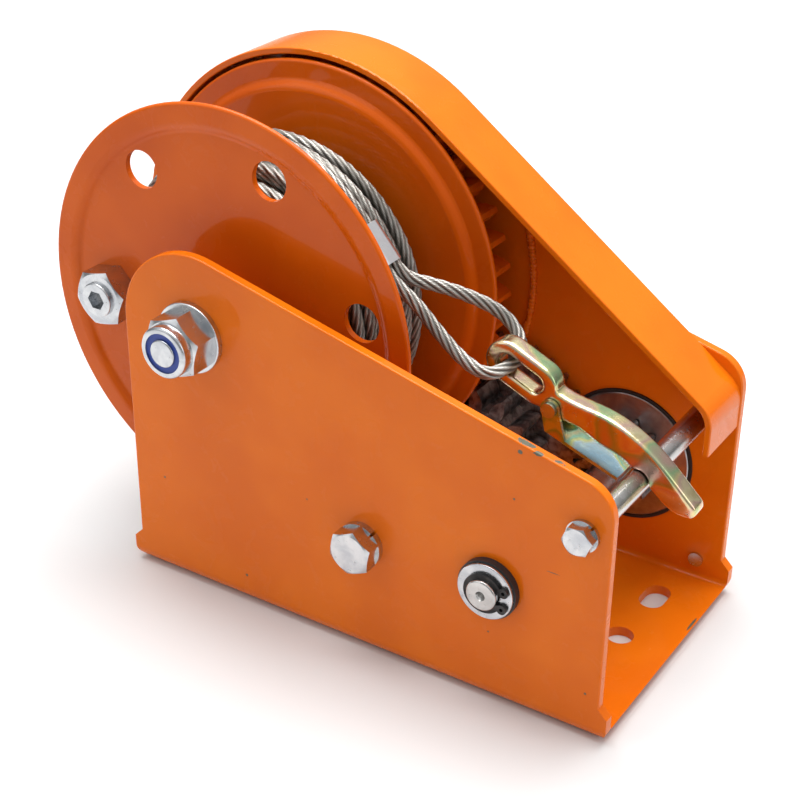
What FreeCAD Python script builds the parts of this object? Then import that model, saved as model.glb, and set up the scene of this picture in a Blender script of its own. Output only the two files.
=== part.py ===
"""Hand winch with a two-stage gear, a wire rope and a load brake, for a boat trailer.

Frame of the model: +X towards the open front where the rope leaves, +Y towards the
crank side, +Z up.  The origin is the middle of the base's underside.  Millimetres.
"""
import FreeCAD, Part
import math
import os

V = FreeCAD.Vector
os.makedirs("parts", exist_ok=True)

# ---- folded frame -----------------------------------------------------------------
FRAME_WIDTH = 112.0        # over the two side plates
SHEET = 4.0                # frame sheet
BASE_LENGTH = 212.0        # base strip, front to back
SIDE_LENGTH = 205.0        # side plates, front to back
BEND_INSIDE = 2.5          # inside radius of the two base folds
FOOT_HEIGHT = 15.0         # height of the full-length foot under each side plate
FOOT_RADIUS = 6.0          # rounded lower corners
FRONT_RADIUS = 14.0        # rounded front top corner of each side plate
EDGE_BREAK = 0.7           # softened sheet edges
NEAR_TOP_RADIUS = 32.0     # near plate's round shoulder about the drum axle
TOP_SLOPE = 13.8           # fall of the near plate's top edge, degrees
FAR_TOP_RADIUS = 83.8      # far plate's round top about the drum axle
GUARD_SLOPE = 36.0         # fall of the guard's straight stretch, degrees
FAR_REAR_ANGLE = 218.0     # where the far plate's rear edge leaves its round top

# ---- shaft positions ----------------------------------------------------------------
DRUM_X, DRUM_Z = -70.5, 111.0
MODULE_SLOW = 3.5          # drum gear and its pinion
TEETH_DRUM, TEETH_PINION = 44, 12
MODULE_FAST = 2.5          # crank-side pair
TEETH_BIG, TEETH_DRIVE = 31, 12
LINE_SLOW = -40.2          # direction drum -> countershaft, degrees
LINE_FAST = 2.0            # direction countershaft -> drive shaft, degrees
CENTRE_SLOW = MODULE_SLOW * (TEETH_DRUM + TEETH_PINION) / 2.0
CENTRE_FAST = MODULE_FAST * (TEETH_BIG + TEETH_DRIVE) / 2.0
COUNTER_X = DRUM_X + CENTRE_SLOW * math.cos(math.radians(LINE_SLOW))
COUNTER_Z = DRUM_Z + CENTRE_SLOW * math.sin(math.radians(LINE_SLOW))
DRIVE_X = COUNTER_X + CENTRE_FAST * math.cos(math.radians(LINE_FAST))
DRIVE_Z = COUNTER_Z + CENTRE_FAST * math.sin(math.radians(LINE_FAST))
TIE_X, TIE_Z = 92.0, 83.5

# ---- gears --------------------------------------------------------------------------
PRESSURE_ANGLE = 25.0
BACKLASH = 0.3
DRUM_GEAR_Y, DRUM_GEAR_WIDTH = 27.5, 12.0
PINION_Y, PINION_WIDTH = 27.2, 14.3
BIG_GEAR_Y, BIG_GEAR_WIDTH = 42.0, 7.5
DRIVE_PINION_Y, DRIVE_PINION_WIDTH = 41.5, 8.8

# ---- drum ---------------------------------------------------------------------------
FLANGE_RADIUS = 82.5
FLANGE_SHEET = 2.5
FLANGE_STEP = 2.2          # how far the rim stands out from the flange's middle
RIM_WIDTH = 12.0           # from the pressed step's start to the edge
STEP_RADIUS = FLANGE_RADIUS - RIM_WIDTH
STEP_WIDTH = 5.0
NEAR_FLANGE_Y = -33.0      # rope side of the near flange
FAR_FLANGE_Y = 21.5        # rope side of the far flange
BARREL_RADIUS = 32.0
BARREL_WALL = 2.5
AXLE_RADIUS = 7.0
AXLE_BUSH_WALL = 2.0
HUB_WALL = 4.0
HUB_BORE = AXLE_RADIUS + AXLE_BUSH_WALL
HUB_RADIUS = HUB_BORE + HUB_WALL
RUNNING_GAP = 0.06         # radial clearance of a turning fit
HUB_END = 48.5             # hub's half length
BUSH_COLLAR = 1.5
END_GAP = 0.3              # end float of a turning piece
RIM_HOLE_RADIUS = 7.5
RIM_HOLE_CIRCLE = STEP_RADIUS - RIM_HOLE_RADIUS - 0.5
RIM_HOLE_ANGLES = (12.5, 69.5, 126.5)
ANCHOR_CIRCLE, ANCHOR_ANGLE = 55.0, 184.0
ANCHOR_SCREW_RADIUS = 7.0
ANCHOR_NUT_FLATS, ANCHOR_NUT_HEIGHT = 21.0, 10.0

# ---- rope ---------------------------------------------------------------------------
ROPE_DIAMETER = 5.0
COIL_PROFILE = ((57.0, -32.6), (61.0, -20.0), (63.3, -8.0), (63.3, 0.0),
                (61.0, 8.0), (54.0, 13.0), (42.0, 17.0), (35.0, 20.0))
COIL_GAP = 0.3
LEAD_ROUTE = ((-60.5, -15.6, 176.8), (-43.0, -16.6, 172.4), (-25.5, -17.4, 160.8),
              (-4.86, -17.4, 137.1), (5.4, -12.4, 135.0), (17.0, -6.6, 131.4), (28.6, -1.2, 125.6),
              (36.4, -1.6, 118.4), (40.6, -8.2, 114.6), (40.4, -17.6, 113.4), (35.4, -24.2, 111.8),
              (25.8, -24.6, 115.6), (14.5, -23.2, 123.2), (4.6, -22.0, 131.2), (-4.86, -22.6, 137.1),
              (-13.9, -22.6, 147.48))
FERRULE_RUN = 2            # the route's run that the ferrule is pressed on
FERRULE_LENGTH = 16.2
FERRULE_WALL = 1.5
FERRULE_NOSE = 5.6         # from the ferrule's hook end to the corner of the route

# ---- hook ---------------------------------------------------------------------------
HOOK_Y, HOOK_THICKNESS = -17.0, 8.0
EYE_X, EYE_Z, EYE_TILT = 45.0, 112.0, -24.0
EYE_HALF, EYE_OUTER, EYE_HOLE_HALF, EYE_HOLE = 7.0, 8.0, 6.0, 3.5
LATCH_SHEET = 1.2

# ---- fasteners and shafts --------------------------------------------------------------
TIE_RADIUS = 4.5
DRIVE_RADIUS = 6.0
COUNTER_RADIUS = 8.0
SPACER_RADIUS = 11.5
BUSH_WALL = 2.5
COVER_RADIUS = 27.0        # boss of the cover in the far plate
SEAL_WALL = 1.0
COVER_HOLE = COVER_RADIUS + SEAL_WALL
COVER_LIP = 4.0            # how far the cover's flange reaches past its hole
COVER_FLANGE = COVER_HOLE + COVER_LIP
COVER_INSET = 1.0          # how far the boss stands inside the plate
COVER_SHEET = 2.6

HALF = FRAME_WIDTH / 2.0
INNER = HALF - SHEET
COVER_FACE = INNER - COVER_INSET
HUB_FACE = HALF + COVER_SHEET   # crank side of the cover


def save(shape, name):
    """Write one node."""
    if not shape.isValid():
        raise ValueError(name + " is not a valid solid")
    if shape.ShapeType == "Compound" and len(shape.Solids) == 1:
        shape = shape.Solids[0]
    shape.exportStep("parts/" + name + ".step")


def rod(radius, x, z, y0, y1):
    """Round bar along Y."""
    return Part.makeCylinder(radius, y1 - y0, V(x, y0, z), V(0, 1, 0))


def ring(outer, bore, x, z, y0, y1):
    """Round tube along Y."""
    return rod(outer, x, z, y0, y1).cut(rod(bore, x, z, y0 - 1.0, y1 + 1.0))


def around(cx, cz, radius, degrees):
    """Point at an angle on a circle in the XZ plane, as (x, z)."""
    a = math.radians(degrees)
    return cx + radius * math.cos(a), cz + radius * math.sin(a)


def prism(edges, y0, y1):
    """Solid between two Y planes from a closed chain of XZ edges drawn at y = 0."""
    face = Part.Face(Part.Wire(edges))
    face.translate(V(0, y0, 0))
    return face.extrude(V(0, y1 - y0, 0))


def line(p, q):
    """Straight edge between two (x, z) points."""
    return Part.LineSegment(V(p[0], 0, p[1]), V(q[0], 0, q[1])).toShape()


def arc(p, m, q):
    """Arc through three (x, z) points."""
    return Part.Arc(V(p[0], 0, p[1]), V(m[0], 0, m[1]), V(q[0], 0, q[1])).toShape()


def polygon(points, y0, y1):
    """Flat plate with straight sides."""
    n = len(points)
    return prism([line(points[i], points[(i + 1) % n]) for i in range(n)], y0, y1)


def chamfered_hex(flats, x, z, y_in, y_out, turn=0.0):
    """Bolt head or nut whose outer face is turned to a circle."""
    corner = flats / math.sqrt(3.0)
    pts = [around(x, z, corner, 60.0 * i + turn) for i in range(6)]
    low, high = min(y_in, y_out), max(y_in, y_out)
    body = polygon(pts, low, high)
    direction = 1.0 if y_out > y_in else -1.0
    height = abs(y_out - y_in)
    big = flats / 2.0 * 0.96 + height * 1.732
    cone = Part.makeCone(big, flats / 2.0 * 0.96, height, V(x, y_in, z), V(0, direction, 0))
    return body.common(cone)


def soften(shape, size, test):
    """Round the edges that a test picks out."""
    picked = [e for e in shape.Edges if test(e)]
    return shape.makeFillet(size, picked) if picked else shape


# ======================= frame ===========================================================
def shoulder_line(x):
    """Height of the near plate's sloping top edge at x."""
    s = math.radians(TOP_SLOPE)
    x0 = DRUM_X + NEAR_TOP_RADIUS * math.sin(s)
    z0 = DRUM_Z + NEAR_TOP_RADIUS * math.cos(s)
    return z0 - (x - x0) * math.tan(s)


def guard_line(x, radius):
    """Height at x of the straight that touches a circle about the drum axle."""
    s = math.radians(GUARD_SLOPE)
    x0 = DRUM_X + radius * math.sin(s)
    z0 = DRUM_Z + radius * math.cos(s)
    return z0 - (x - x0) * math.tan(s)


def front_corner_edges():
    """Front edge of a side plate, upwards, then its rounded top corner."""
    x = SIDE_LENGTH / 2.0
    s = math.radians(TOP_SLOPE)
    corner = shoulder_line(x)
    turn = math.pi / 2.0 - s
    reach = FRONT_RADIUS * math.tan(turn / 2.0)
    low = (x, corner - reach)
    high = (x - reach * math.cos(s), corner + reach * math.sin(s))
    centre = (x - FRONT_RADIUS, corner - reach)
    mid = around(centre[0], centre[1], FRONT_RADIUS, math.degrees(turn / 2.0))
    return low, mid, high


def near_plate():
    """Near side plate above its foot."""
    x = SIDE_LENGTH / 2.0
    s = math.radians(TOP_SLOPE)
    low, mid, high = front_corner_edges()
    top = (DRUM_X + NEAR_TOP_RADIUS * math.sin(s), DRUM_Z + NEAR_TOP_RADIUS * math.cos(s))
    back = (DRUM_X - NEAR_TOP_RADIUS, DRUM_Z)
    shoulder = around(DRUM_X, DRUM_Z, NEAR_TOP_RADIUS, 135.0 - TOP_SLOPE / 2.0)
    foot = SHEET + BEND_INSIDE
    edges = [line((back[0], foot), (x, foot)), line((x, foot), low), arc(low, mid, high),
             line(high, top), arc(top, shoulder, back), line(back, (back[0], foot))]
    return prism(edges, -HALF, -INNER)


def far_plate():
    """Far side plate above its foot, with the round top that carries the guard."""
    x = SIDE_LENGTH / 2.0
    s = math.radians(GUARD_SLOPE)
    low, mid, high = front_corner_edges()
    r = FAR_TOP_RADIUS
    top = (DRUM_X + r * math.sin(s), DRUM_Z + r * math.cos(s))
    t, g = math.tan(math.radians(TOP_SLOPE)), math.tan(s)
    meet_x = (guard_line(0.0, r) - shoulder_line(0.0)) / (g - t)
    meet = (meet_x, guard_line(meet_x, r))
    rear = around(DRUM_X, DRUM_Z, r, FAR_REAR_ANGLE)
    crown = around(DRUM_X, DRUM_Z, r, (90.0 - GUARD_SLOPE + FAR_REAR_ANGLE) / 2.0)
    a = math.radians(FAR_REAR_ANGLE)
    run = (-x - rear[0]) / -math.sin(a)
    heel = (-x, rear[1] + run * math.cos(a))
    foot = SHEET + BEND_INSIDE
    edges = [line((-x, foot), (x, foot)), line((x, foot), low), arc(low, mid, high),
             line(high, meet), line(meet, top), arc(top, crown, rear),
             line(rear, heel), line(heel, (-x, foot))]
    return prism(edges, INNER, HALF)


def channel():
    """Base with its two folds and the full-length feet."""
    ro, ri = BEND_INSIDE + SHEET, BEND_INSIDE
    h, w, n = FOOT_HEIGHT, HALF, INNER
    x0 = -BASE_LENGTH / 2.0
    k = math.sqrt(0.5)

    def seg(p, q):
        return Part.LineSegment(V(x0, p[0], p[1]), V(x0, q[0], q[1])).toShape()

    def bow(p, m, q):
        return Part.Arc(V(x0, p[0], p[1]), V(x0, m[0], m[1]), V(x0, q[0], q[1])).toShape()

    edges = [seg((-w, h), (-w, ro)),
             bow((-w, ro), (-w + ro - ro * k, ro - ro * k), (-w + ro, 0.0)),
             seg((-w + ro, 0.0), (w - ro, 0.0)),
             bow((w - ro, 0.0), (w - ro + ro * k, ro - ro * k), (w, ro)),
             seg((w, ro), (w, h)), seg((w, h), (n, h)), seg((n, h), (n, ro)),
             bow((n, ro), (n - ri + ri * k, ro - ri * k), (n - ri, SHEET)),
             seg((n - ri, SHEET), (-n + ri, SHEET)),
             bow((-n + ri, SHEET), (-n + ri - ri * k, ro - ri * k), (-n, ro)),
             seg((-n, ro), (-n, h)), seg((-n, h), (-w, h))]
    return Part.Face(Part.Wire(edges)).extrude(V(BASE_LENGTH, 0, 0))


SLOT_X, SLOT_Y, SLOT_RADIUS, SLOT_LENGTH = 85.0, 30.0, 5.0, 16.0
BASE_HOLE_X, BASE_HOLE_RADIUS = 84.5, 5.25


def base_openings():
    """Slots and round holes that bolt the winch down."""
    tools = []
    for x in (-SLOT_X, SLOT_X):
        for y in (-SLOT_Y, SLOT_Y):
            e = SLOT_LENGTH / 2.0 - SLOT_RADIUS
            tools.append(Part.makeCylinder(SLOT_RADIUS, SHEET + 2, V(x, y - e, -1)))
            tools.append(Part.makeCylinder(SLOT_RADIUS, SHEET + 2, V(x, y + e, -1)))
            tools.append(Part.makeBox(2 * SLOT_RADIUS, 2 * e, SHEET + 2, V(x - SLOT_RADIUS, y - e, -1)))
    for x in (-BASE_HOLE_X, BASE_HOLE_X):
        tools.append(Part.makeCylinder(BASE_HOLE_RADIUS, SHEET + 2, V(x, 0, -1)))
    return tools


def frame():
    """One folded sheet: base, feet and both side plates, with every hole."""
    body = channel()
    foot_cut = Part.makeBox(BASE_LENGTH + 2, FRAME_WIDTH + 2, 3 * FOOT_HEIGHT,
                            V(-BASE_LENGTH / 2 - 1, -HALF - 1, -FOOT_HEIGHT))
    keep = Part.makeBox(BASE_LENGTH, FRAME_WIDTH + 2, 3 * FOOT_HEIGHT, V(-BASE_LENGTH / 2, -HALF - 1, 0))
    vertical = [e for e in keep.Edges if abs(e.Vertexes[0].Y - e.Vertexes[1].Y) > 1
                and e.Vertexes[0].Z < 0.1]
    keep = keep.makeFillet(FOOT_RADIUS, vertical)
    body = body.common(keep)
    for y0 in (-HALF, INNER):
        for x in (-1, 1):
            tip = x * BASE_LENGTH / 2.0
            inner = x * SIDE_LENGTH / 2.0
            pts = [(tip + x, FOOT_HEIGHT + 1), (inner, FOOT_HEIGHT + 1), (inner, FOOT_HEIGHT - 0.5),
                   (tip + x, FOOT_HEIGHT - 5.0)]
            body = body.cut(polygon(pts, y0 - 1, y0 + SHEET + 1))
    body = body.fuse([near_plate(), far_plate()]).removeSplitter()
    holes = base_openings()
    holes.append(rod(AXLE_RADIUS + 0.25, DRUM_X, DRUM_Z, -HALF - 1, HALF + 1))
    holes.append(rod(5.25, COUNTER_X, COUNTER_Z, -HALF - 1, HALF + 1))
    holes.append(rod(3.25, TIE_X, TIE_Z, -HALF - 1, HALF + 1))
    holes.append(rod(DRIVE_RADIUS + BUSH_WALL, DRIVE_X, DRIVE_Z, -HALF - 1, -INNER + 1))
    holes.append(rod(COVER_HOLE, DRIVE_X, DRIVE_Z, INNER - 1, HALF + 1))
    holes.append(rod(RIVET_RADIUS, RIVET_X, RIVET_Z, INNER - 1, HALF + 1))
    body = body.cut(holes)

    def outline(e):
        if e.Length < 3.0:
            return False
        m = e.valueAt((e.FirstParameter + e.LastParameter) / 2.0)
        flat = abs(e.BoundBox.YLength) < 1e-6
        on_face = min(abs(abs(m.y) - HALF), abs(abs(m.y) - INNER)) < 1e-6
        return flat and on_face and m.z > FOOT_HEIGHT + 0.5 and not is_hole_edge(e)

    return soften(body, EDGE_BREAK, outline)


def is_hole_edge(edge):
    """True for a full circle."""
    return len(edge.Vertexes) == 1


RIVET_X, RIVET_Z, RIVET_RADIUS = 92.0, 12.0, 2.4


def plate_rivet():
    """Rivet that closes the tooling hole low in the far plate."""
    body = rod(RIVET_RADIUS, RIVET_X, RIVET_Z, INNER - 0.8, HALF)
    head = rod(4.2, RIVET_X, RIVET_Z, HALF, HALF + 1.8)
    inner = rod(3.0, RIVET_X, RIVET_Z, INNER - 1.2, INNER)
    return body.fuse([head, inner]).removeSplitter()


# ======================= gear guard ==========================================================
GUARD_SHEET = 2.6
GUARD_RADIUS = FAR_TOP_RADIUS + 0.2 + GUARD_SHEET
GUARD_NEAR_Y = 24.6
GUARD_START = 196.0
GUARD_FRONT_X, GUARD_BEND, GUARD_END_Z = 102.0, 12.0, 76.0


def guard_side(offset):
    """Guard's outer line moved inwards by an offset: its key points from back to front."""
    r = GUARD_RADIUS - offset
    s = math.radians(GUARD_SLOPE)
    start = around(DRUM_X, DRUM_Z, r, GUARD_START)
    crown = around(DRUM_X, DRUM_Z, r, (GUARD_START + 90.0 - GUARD_SLOPE) / 2.0)
    top = (DRUM_X + r * math.sin(s), DRUM_Z + r * math.cos(s))
    front = GUARD_FRONT_X - offset
    bend = GUARD_BEND - offset
    corner_z = guard_line(front, r)
    turn = math.pi / 2.0 - s
    reach = bend * math.tan(turn / 2.0)
    into = (front - reach * math.cos(s), corner_z + reach * math.sin(s))
    out = (front, corner_z - reach)
    centre = (front - bend, corner_z - reach)
    mid = around(centre[0], centre[1], bend, math.degrees(turn / 2.0))
    return start, crown, top, into, mid, out, (front, GUARD_END_Z)


def gear_guard():
    """Rolled strip welded to the far plate, over the gears and down the front."""
    a = guard_side(0.0)
    b = guard_side(GUARD_SHEET)
    edges = [arc(a[0], a[1], a[2]), line(a[2], a[3]), arc(a[3], a[4], a[5]), line(a[5], a[6]),
             line(a[6], b[6]), line(b[6], b[5]), arc(b[5], b[4], b[3]), line(b[3], b[2]),
             arc(b[2], b[1], b[0]), line(b[0], a[0])]
    strip = prism(edges, GUARD_NEAR_Y, INNER)

    def rim(e):
        m = e.valueAt((e.FirstParameter + e.LastParameter) / 2.0)
        return abs(e.BoundBox.YLength) < 1e-6 and abs(m.y - GUARD_NEAR_Y) < 1e-6 and e.Length > 3.0

    return soften(strip, 0.6, rim)


# ======================= gears ===============================================================
def involute(angle):
    """Involute function of a pressure angle in radians."""
    return math.tan(angle) - angle


def gear_blank(module, teeth, x, z, y0, width, first_tooth):
    """Spur gear whose first tooth is centred on an angle, in degrees."""
    alpha = math.radians(PRESSURE_ANGLE)
    pitch = module * teeth / 2.0
    base = pitch * math.cos(alpha)
    tip = pitch + module * 0.97
    root = pitch - module * 1.25
    half_pitch = math.pi / (2.0 * teeth) - BACKLASH / (4.0 * pitch)

    def half(radius):
        if radius <= base:
            return half_pitch + involute(alpha)
        return half_pitch + involute(alpha) - involute(math.acos(base / radius))

    def at(radius, angle):
        return x + radius * math.cos(angle), z + radius * math.sin(angle)

    start = max(base, root + 0.2 * module)
    middle = (start + tip) / 2.0
    edges = []
    step = 2.0 * math.pi / teeth
    for i in range(teeth):
        c = math.radians(first_tooth) + i * step
        foot = half(start)
        edges.append(line(at(root, c - foot), at(start, c - foot)))
        edges.append(arc(at(start, c - foot), at(middle, c - half(middle)), at(tip, c - half(tip))))
        edges.append(arc(at(tip, c - half(tip)), at(tip, c), at(tip, c + half(tip))))
        edges.append(arc(at(tip, c + half(tip)), at(middle, c + half(middle)), at(start, c + foot)))
        edges.append(line(at(start, c + foot), at(root, c + foot)))
        edges.append(arc(at(root, c + foot), at(root, c + step / 2.0), at(root, c + step - foot)))
    return prism(edges, y0, y0 + width)


def drum_gear():
    """Large gear welded to the drum beside the far flange."""
    body = gear_blank(MODULE_SLOW, TEETH_DRUM, DRUM_X, DRUM_Z, DRUM_GEAR_Y, DRUM_GEAR_WIDTH, LINE_SLOW)
    body = body.cut(rod(HUB_RADIUS, DRUM_X, DRUM_Z, DRUM_GEAR_Y - 1, DRUM_GEAR_Y + DRUM_GEAR_WIDTH + 1))
    y1 = DRUM_GEAR_Y + DRUM_GEAR_WIDTH
    return body.cut(ring(64.0, 22.0, DRUM_X, DRUM_Z, y1 - 3.0, y1 + 1.0))


def counter_pinion():
    """Countershaft pinion, tooth gap towards the drum."""
    first = LINE_SLOW + 180.0 + 180.0 / TEETH_PINION
    body = gear_blank(MODULE_SLOW, TEETH_PINION, COUNTER_X, COUNTER_Z, PINION_Y, PINION_WIDTH, first)
    return body.cut(rod(COUNTER_RADIUS + BUSH_WALL, COUNTER_X, COUNTER_Z, PINION_Y - 1, 60.0))


def counter_gear():
    """Large gear of the crank-side pair, beside the pinion."""
    y1 = BIG_GEAR_Y + BIG_GEAR_WIDTH
    body = gear_blank(MODULE_FAST, TEETH_BIG, COUNTER_X, COUNTER_Z, BIG_GEAR_Y, BIG_GEAR_WIDTH, LINE_FAST)
    body = body.cut(rod(COUNTER_RADIUS + BUSH_WALL, COUNTER_X, COUNTER_Z, BIG_GEAR_Y - 1, y1 + 1))
    return body.fuse(ring(18.0, COUNTER_RADIUS + BUSH_WALL, COUNTER_X, COUNTER_Z,
                          PINION_Y + PINION_WIDTH, BIG_GEAR_Y)).removeSplitter()


def counter_bush():
    """Bronze bush pressed through both countershaft gears."""
    y1 = BIG_GEAR_Y + BIG_GEAR_WIDTH
    return ring(COUNTER_RADIUS + BUSH_WALL, COUNTER_RADIUS + RUNNING_GAP, COUNTER_X, COUNTER_Z, PINION_Y, y1)


def drive_pinion():
    """Pinion keyed to the drive shaft."""
    first = LINE_FAST + 180.0 + 180.0 / TEETH_DRIVE
    body = gear_blank(MODULE_FAST, TEETH_DRIVE, DRIVE_X, DRIVE_Z, DRIVE_PINION_Y, DRIVE_PINION_WIDTH, first)
    return body.cut(rod(DRIVE_RADIUS, DRIVE_X, DRIVE_Z, DRIVE_PINION_Y - 1, 60.0))


# ======================= drum ================================================================
def revolve_profile(points):
    """Solid of revolution about the drum axle from (radius, y) points."""
    vs = [V(DRUM_X + r, y, DRUM_Z) for r, y in points]
    wire = Part.makePolygon(vs + [vs[0]])
    return Part.Face(wire).revolve(V(DRUM_X, 0, DRUM_Z), V(0, 1, 0), 360.0)


def flange(rope_side, way):
    """Pressed flange: flat middle, a rounded step, and a rim with a round edge."""
    t = FLANGE_SHEET / 2.0
    middle = rope_side + way * t
    bend = 2.0 * math.atan(FLANGE_STEP / STEP_WIDTH)
    radius = STEP_WIDTH / (2.0 * math.sin(bend))

    def first(a, off):
        return (STEP_RADIUS + (radius - off) * math.sin(a),
                middle + way * (radius - (radius - off) * math.cos(a)))

    def second(a, off):
        return (STEP_RADIUS + STEP_WIDTH - (radius + off) * math.sin(a),
                middle + way * (FLANGE_STEP - radius + (radius + off) * math.cos(a)))

    def spot(p):
        return V(DRUM_X + p[0], p[1], DRUM_Z)

    def side(off):
        low = (HUB_RADIUS, middle + way * off)
        high = (FLANGE_RADIUS - t, middle + way * (FLANGE_STEP + off))
        return [Part.LineSegment(spot(low), spot(first(0, off))).toShape(),
                Part.Arc(spot(first(0, off)), spot(first(bend / 2, off)), spot(first(bend, off))).toShape(),
                Part.Arc(spot(second(bend, off)), spot(second(bend / 2, off)), spot(second(0, off))).toShape(),
                Part.LineSegment(spot(second(0, off)), spot(high)).toShape()]

    rim = middle + way * FLANGE_STEP
    tip = Part.Arc(spot((FLANGE_RADIUS - t, rim + way * t)), spot((FLANGE_RADIUS, rim)),
                   spot((FLANGE_RADIUS - t, rim - way * t))).toShape()
    inner = Part.LineSegment(spot((HUB_RADIUS, rope_side)), spot((HUB_RADIUS, middle + way * t))).toShape()
    wire = Part.Wire(Part.__sortEdges__(side(t) + [tip] + side(-t) + [inner]))
    return Part.Face(wire).revolve(V(DRUM_X, 0, DRUM_Z), V(0, 1, 0), 360.0)


def near_flange():
    """Flange on the free side, with three round holes and the rope anchor's hole."""
    body = flange(NEAR_FLANGE_Y, -1.0)
    cuts = []
    for a in RIM_HOLE_ANGLES:
        x, z = around(DRUM_X, DRUM_Z, RIM_HOLE_CIRCLE, a)
        cuts.append(rod(RIM_HOLE_RADIUS, x, z, NEAR_FLANGE_Y - 8, NEAR_FLANGE_Y + 2))
    x, z = around(DRUM_X, DRUM_Z, ANCHOR_CIRCLE, ANCHOR_ANGLE)
    cuts.append(rod(ANCHOR_SCREW_RADIUS, x, z, NEAR_FLANGE_Y - 8, NEAR_FLANGE_Y + 2))
    return body.cut(cuts)


def far_flange():
    """Plain flange beside the gear."""
    return flange(FAR_FLANGE_Y, 1.0)


def drum_barrel():
    """Tube that the rope winds on."""
    return ring(BARREL_RADIUS, BARREL_RADIUS - BARREL_WALL, DRUM_X, DRUM_Z, NEAR_FLANGE_Y, FAR_FLANGE_Y)


def drum_hub():
    """Centre tube through both flanges and the gear."""
    return ring(HUB_RADIUS, HUB_BORE, DRUM_X, DRUM_Z, -HUB_END, HUB_END)


def drum_bush(way):
    """Flanged bush that turns on the axle, one at each end of the hub."""
    end = way * HUB_END
    y0, y1 = sorted((end, end - way * 16.0))
    f0, f1 = sorted((end, end + way * BUSH_COLLAR))
    sleeve = ring(HUB_BORE, AXLE_RADIUS + RUNNING_GAP, DRUM_X, DRUM_Z, y0, y1)
    collar = ring(HUB_RADIUS, AXLE_RADIUS + RUNNING_GAP, DRUM_X, DRUM_Z, f0, f1)
    return sleeve.fuse(collar).removeSplitter()


def anchor_screw():
    """Socket screw that traps the rope's end against the flange."""
    x, z = around(DRUM_X, DRUM_Z, ANCHOR_CIRCLE, ANCHOR_ANGLE)
    top = NEAR_FLANGE_Y - FLANGE_SHEET - ANCHOR_NUT_HEIGHT - 1.5
    body = rod(ANCHOR_SCREW_RADIUS, x, z, top, NEAR_FLANGE_Y)
    socket = polygon([around(x, z, 4.04, 60.0 * i) for i in range(6)], top - 1, top + 5.0)
    body = body.cut(socket)
    return soften(body, 0.6, lambda e: abs(e.BoundBox.YMax - top) < 1e-6 and e.Length > 30)


def anchor_nut():
    """Plain nut on the anchor screw."""
    x, z = around(DRUM_X, DRUM_Z, ANCHOR_CIRCLE, ANCHOR_ANGLE)
    y_in = NEAR_FLANGE_Y - FLANGE_SHEET
    y_out = y_in - ANCHOR_NUT_HEIGHT
    nut = chamfered_hex(ANCHOR_NUT_FLATS, x, z, y_in, y_out, 12.0)
    return nut.cut(rod(ANCHOR_SCREW_RADIUS, x, z, y_out - 1, y_in + 1))


def rope_coil():
    """Outer shape of the wound rope on the barrel."""
    inner = BARREL_RADIUS + COIL_GAP
    first, last = COIL_PROFILE[0][1], COIL_PROFILE[-1][1]
    return revolve_profile([(inner, first)] + list(COIL_PROFILE) + [(inner, last)])


# ======================= axle ================================================================
AXLE_WASHER, AXLE_WASHER_SHEET = 14.0, 2.5
AXLE_NUT_FLATS, AXLE_NUT_HEX, AXLE_NUT_COLLAR = 22.0, 10.0, 4.5
AXLE_TIP_RADIUS = AXLE_RADIUS - 1.6
LOCK_RING_RADIUS = AXLE_RADIUS + 0.8
NUT_COLLAR_RADIUS = LOCK_RING_RADIUS + 2.3


def axle_bolt():
    """Large bolt from the crank side that carries the drum."""
    y_head = HALF + AXLE_WASHER_SHEET
    ring_y = -HALF - AXLE_WASHER_SHEET - AXLE_NUT_HEX - 0.5
    end = ring_y + 0.5 - AXLE_NUT_COLLAR - 0.4
    shank = rod(AXLE_RADIUS, DRUM_X, DRUM_Z, ring_y, y_head)
    shank = shank.fuse(rod(AXLE_TIP_RADIUS, DRUM_X, DRUM_Z, end, ring_y)).removeSplitter()
    shank = soften(shank, 0.6, lambda e: abs(e.BoundBox.YMin - end) < 1e-6 and e.Length > 30
                   and e.BoundBox.YLength < 1e-6)
    head = chamfered_hex(AXLE_NUT_FLATS, DRUM_X, DRUM_Z, y_head, y_head + 10.0, 10.0)
    return shank.fuse(head)


def axle_washer(way):
    """Plain washer under the head or the nut."""
    y0, y1 = sorted((way * HALF, way * (HALF + AXLE_WASHER_SHEET)))
    body = ring(AXLE_WASHER, AXLE_RADIUS + 0.3, DRUM_X, DRUM_Z, y0, y1)
    face = y1 if way > 0 else y0
    return soften(body, 0.5, lambda e: abs(e.BoundBox.YMax - face) < 1e-6 and e.BoundBox.YLength < 1e-6
                  and e.Length > 80)


def axle_nut():
    """Locking nut with the round collar that holds its plastic ring."""
    y0 = -HALF - AXLE_WASHER_SHEET
    y1 = y0 - AXLE_NUT_HEX
    y2 = y1 - AXLE_NUT_COLLAR
    nut = chamfered_hex(AXLE_NUT_FLATS, DRUM_X, DRUM_Z, y0, y1, 18.0)
    collar = rod(NUT_COLLAR_RADIUS, DRUM_X, DRUM_Z, y2, y1)
    collar = soften(collar, 1.2, lambda e: abs(e.BoundBox.YMax - y2) < 1e-6)
    body = nut.fuse(collar).removeSplitter()
    body = body.cut(rod(AXLE_RADIUS, DRUM_X, DRUM_Z, y2 - 1, y0 + 1))
    return body.cut(rod(LOCK_RING_RADIUS, DRUM_X, DRUM_Z, y2 - 1, y1 - 0.5))


def axle_nut_ring():
    """Plastic locking ring in the nut."""
    y1 = -HALF - AXLE_WASHER_SHEET - AXLE_NUT_HEX
    return ring(LOCK_RING_RADIUS, AXLE_TIP_RADIUS, DRUM_X, DRUM_Z, y1 - AXLE_NUT_COLLAR + 0.7, y1 - 0.5)


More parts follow.
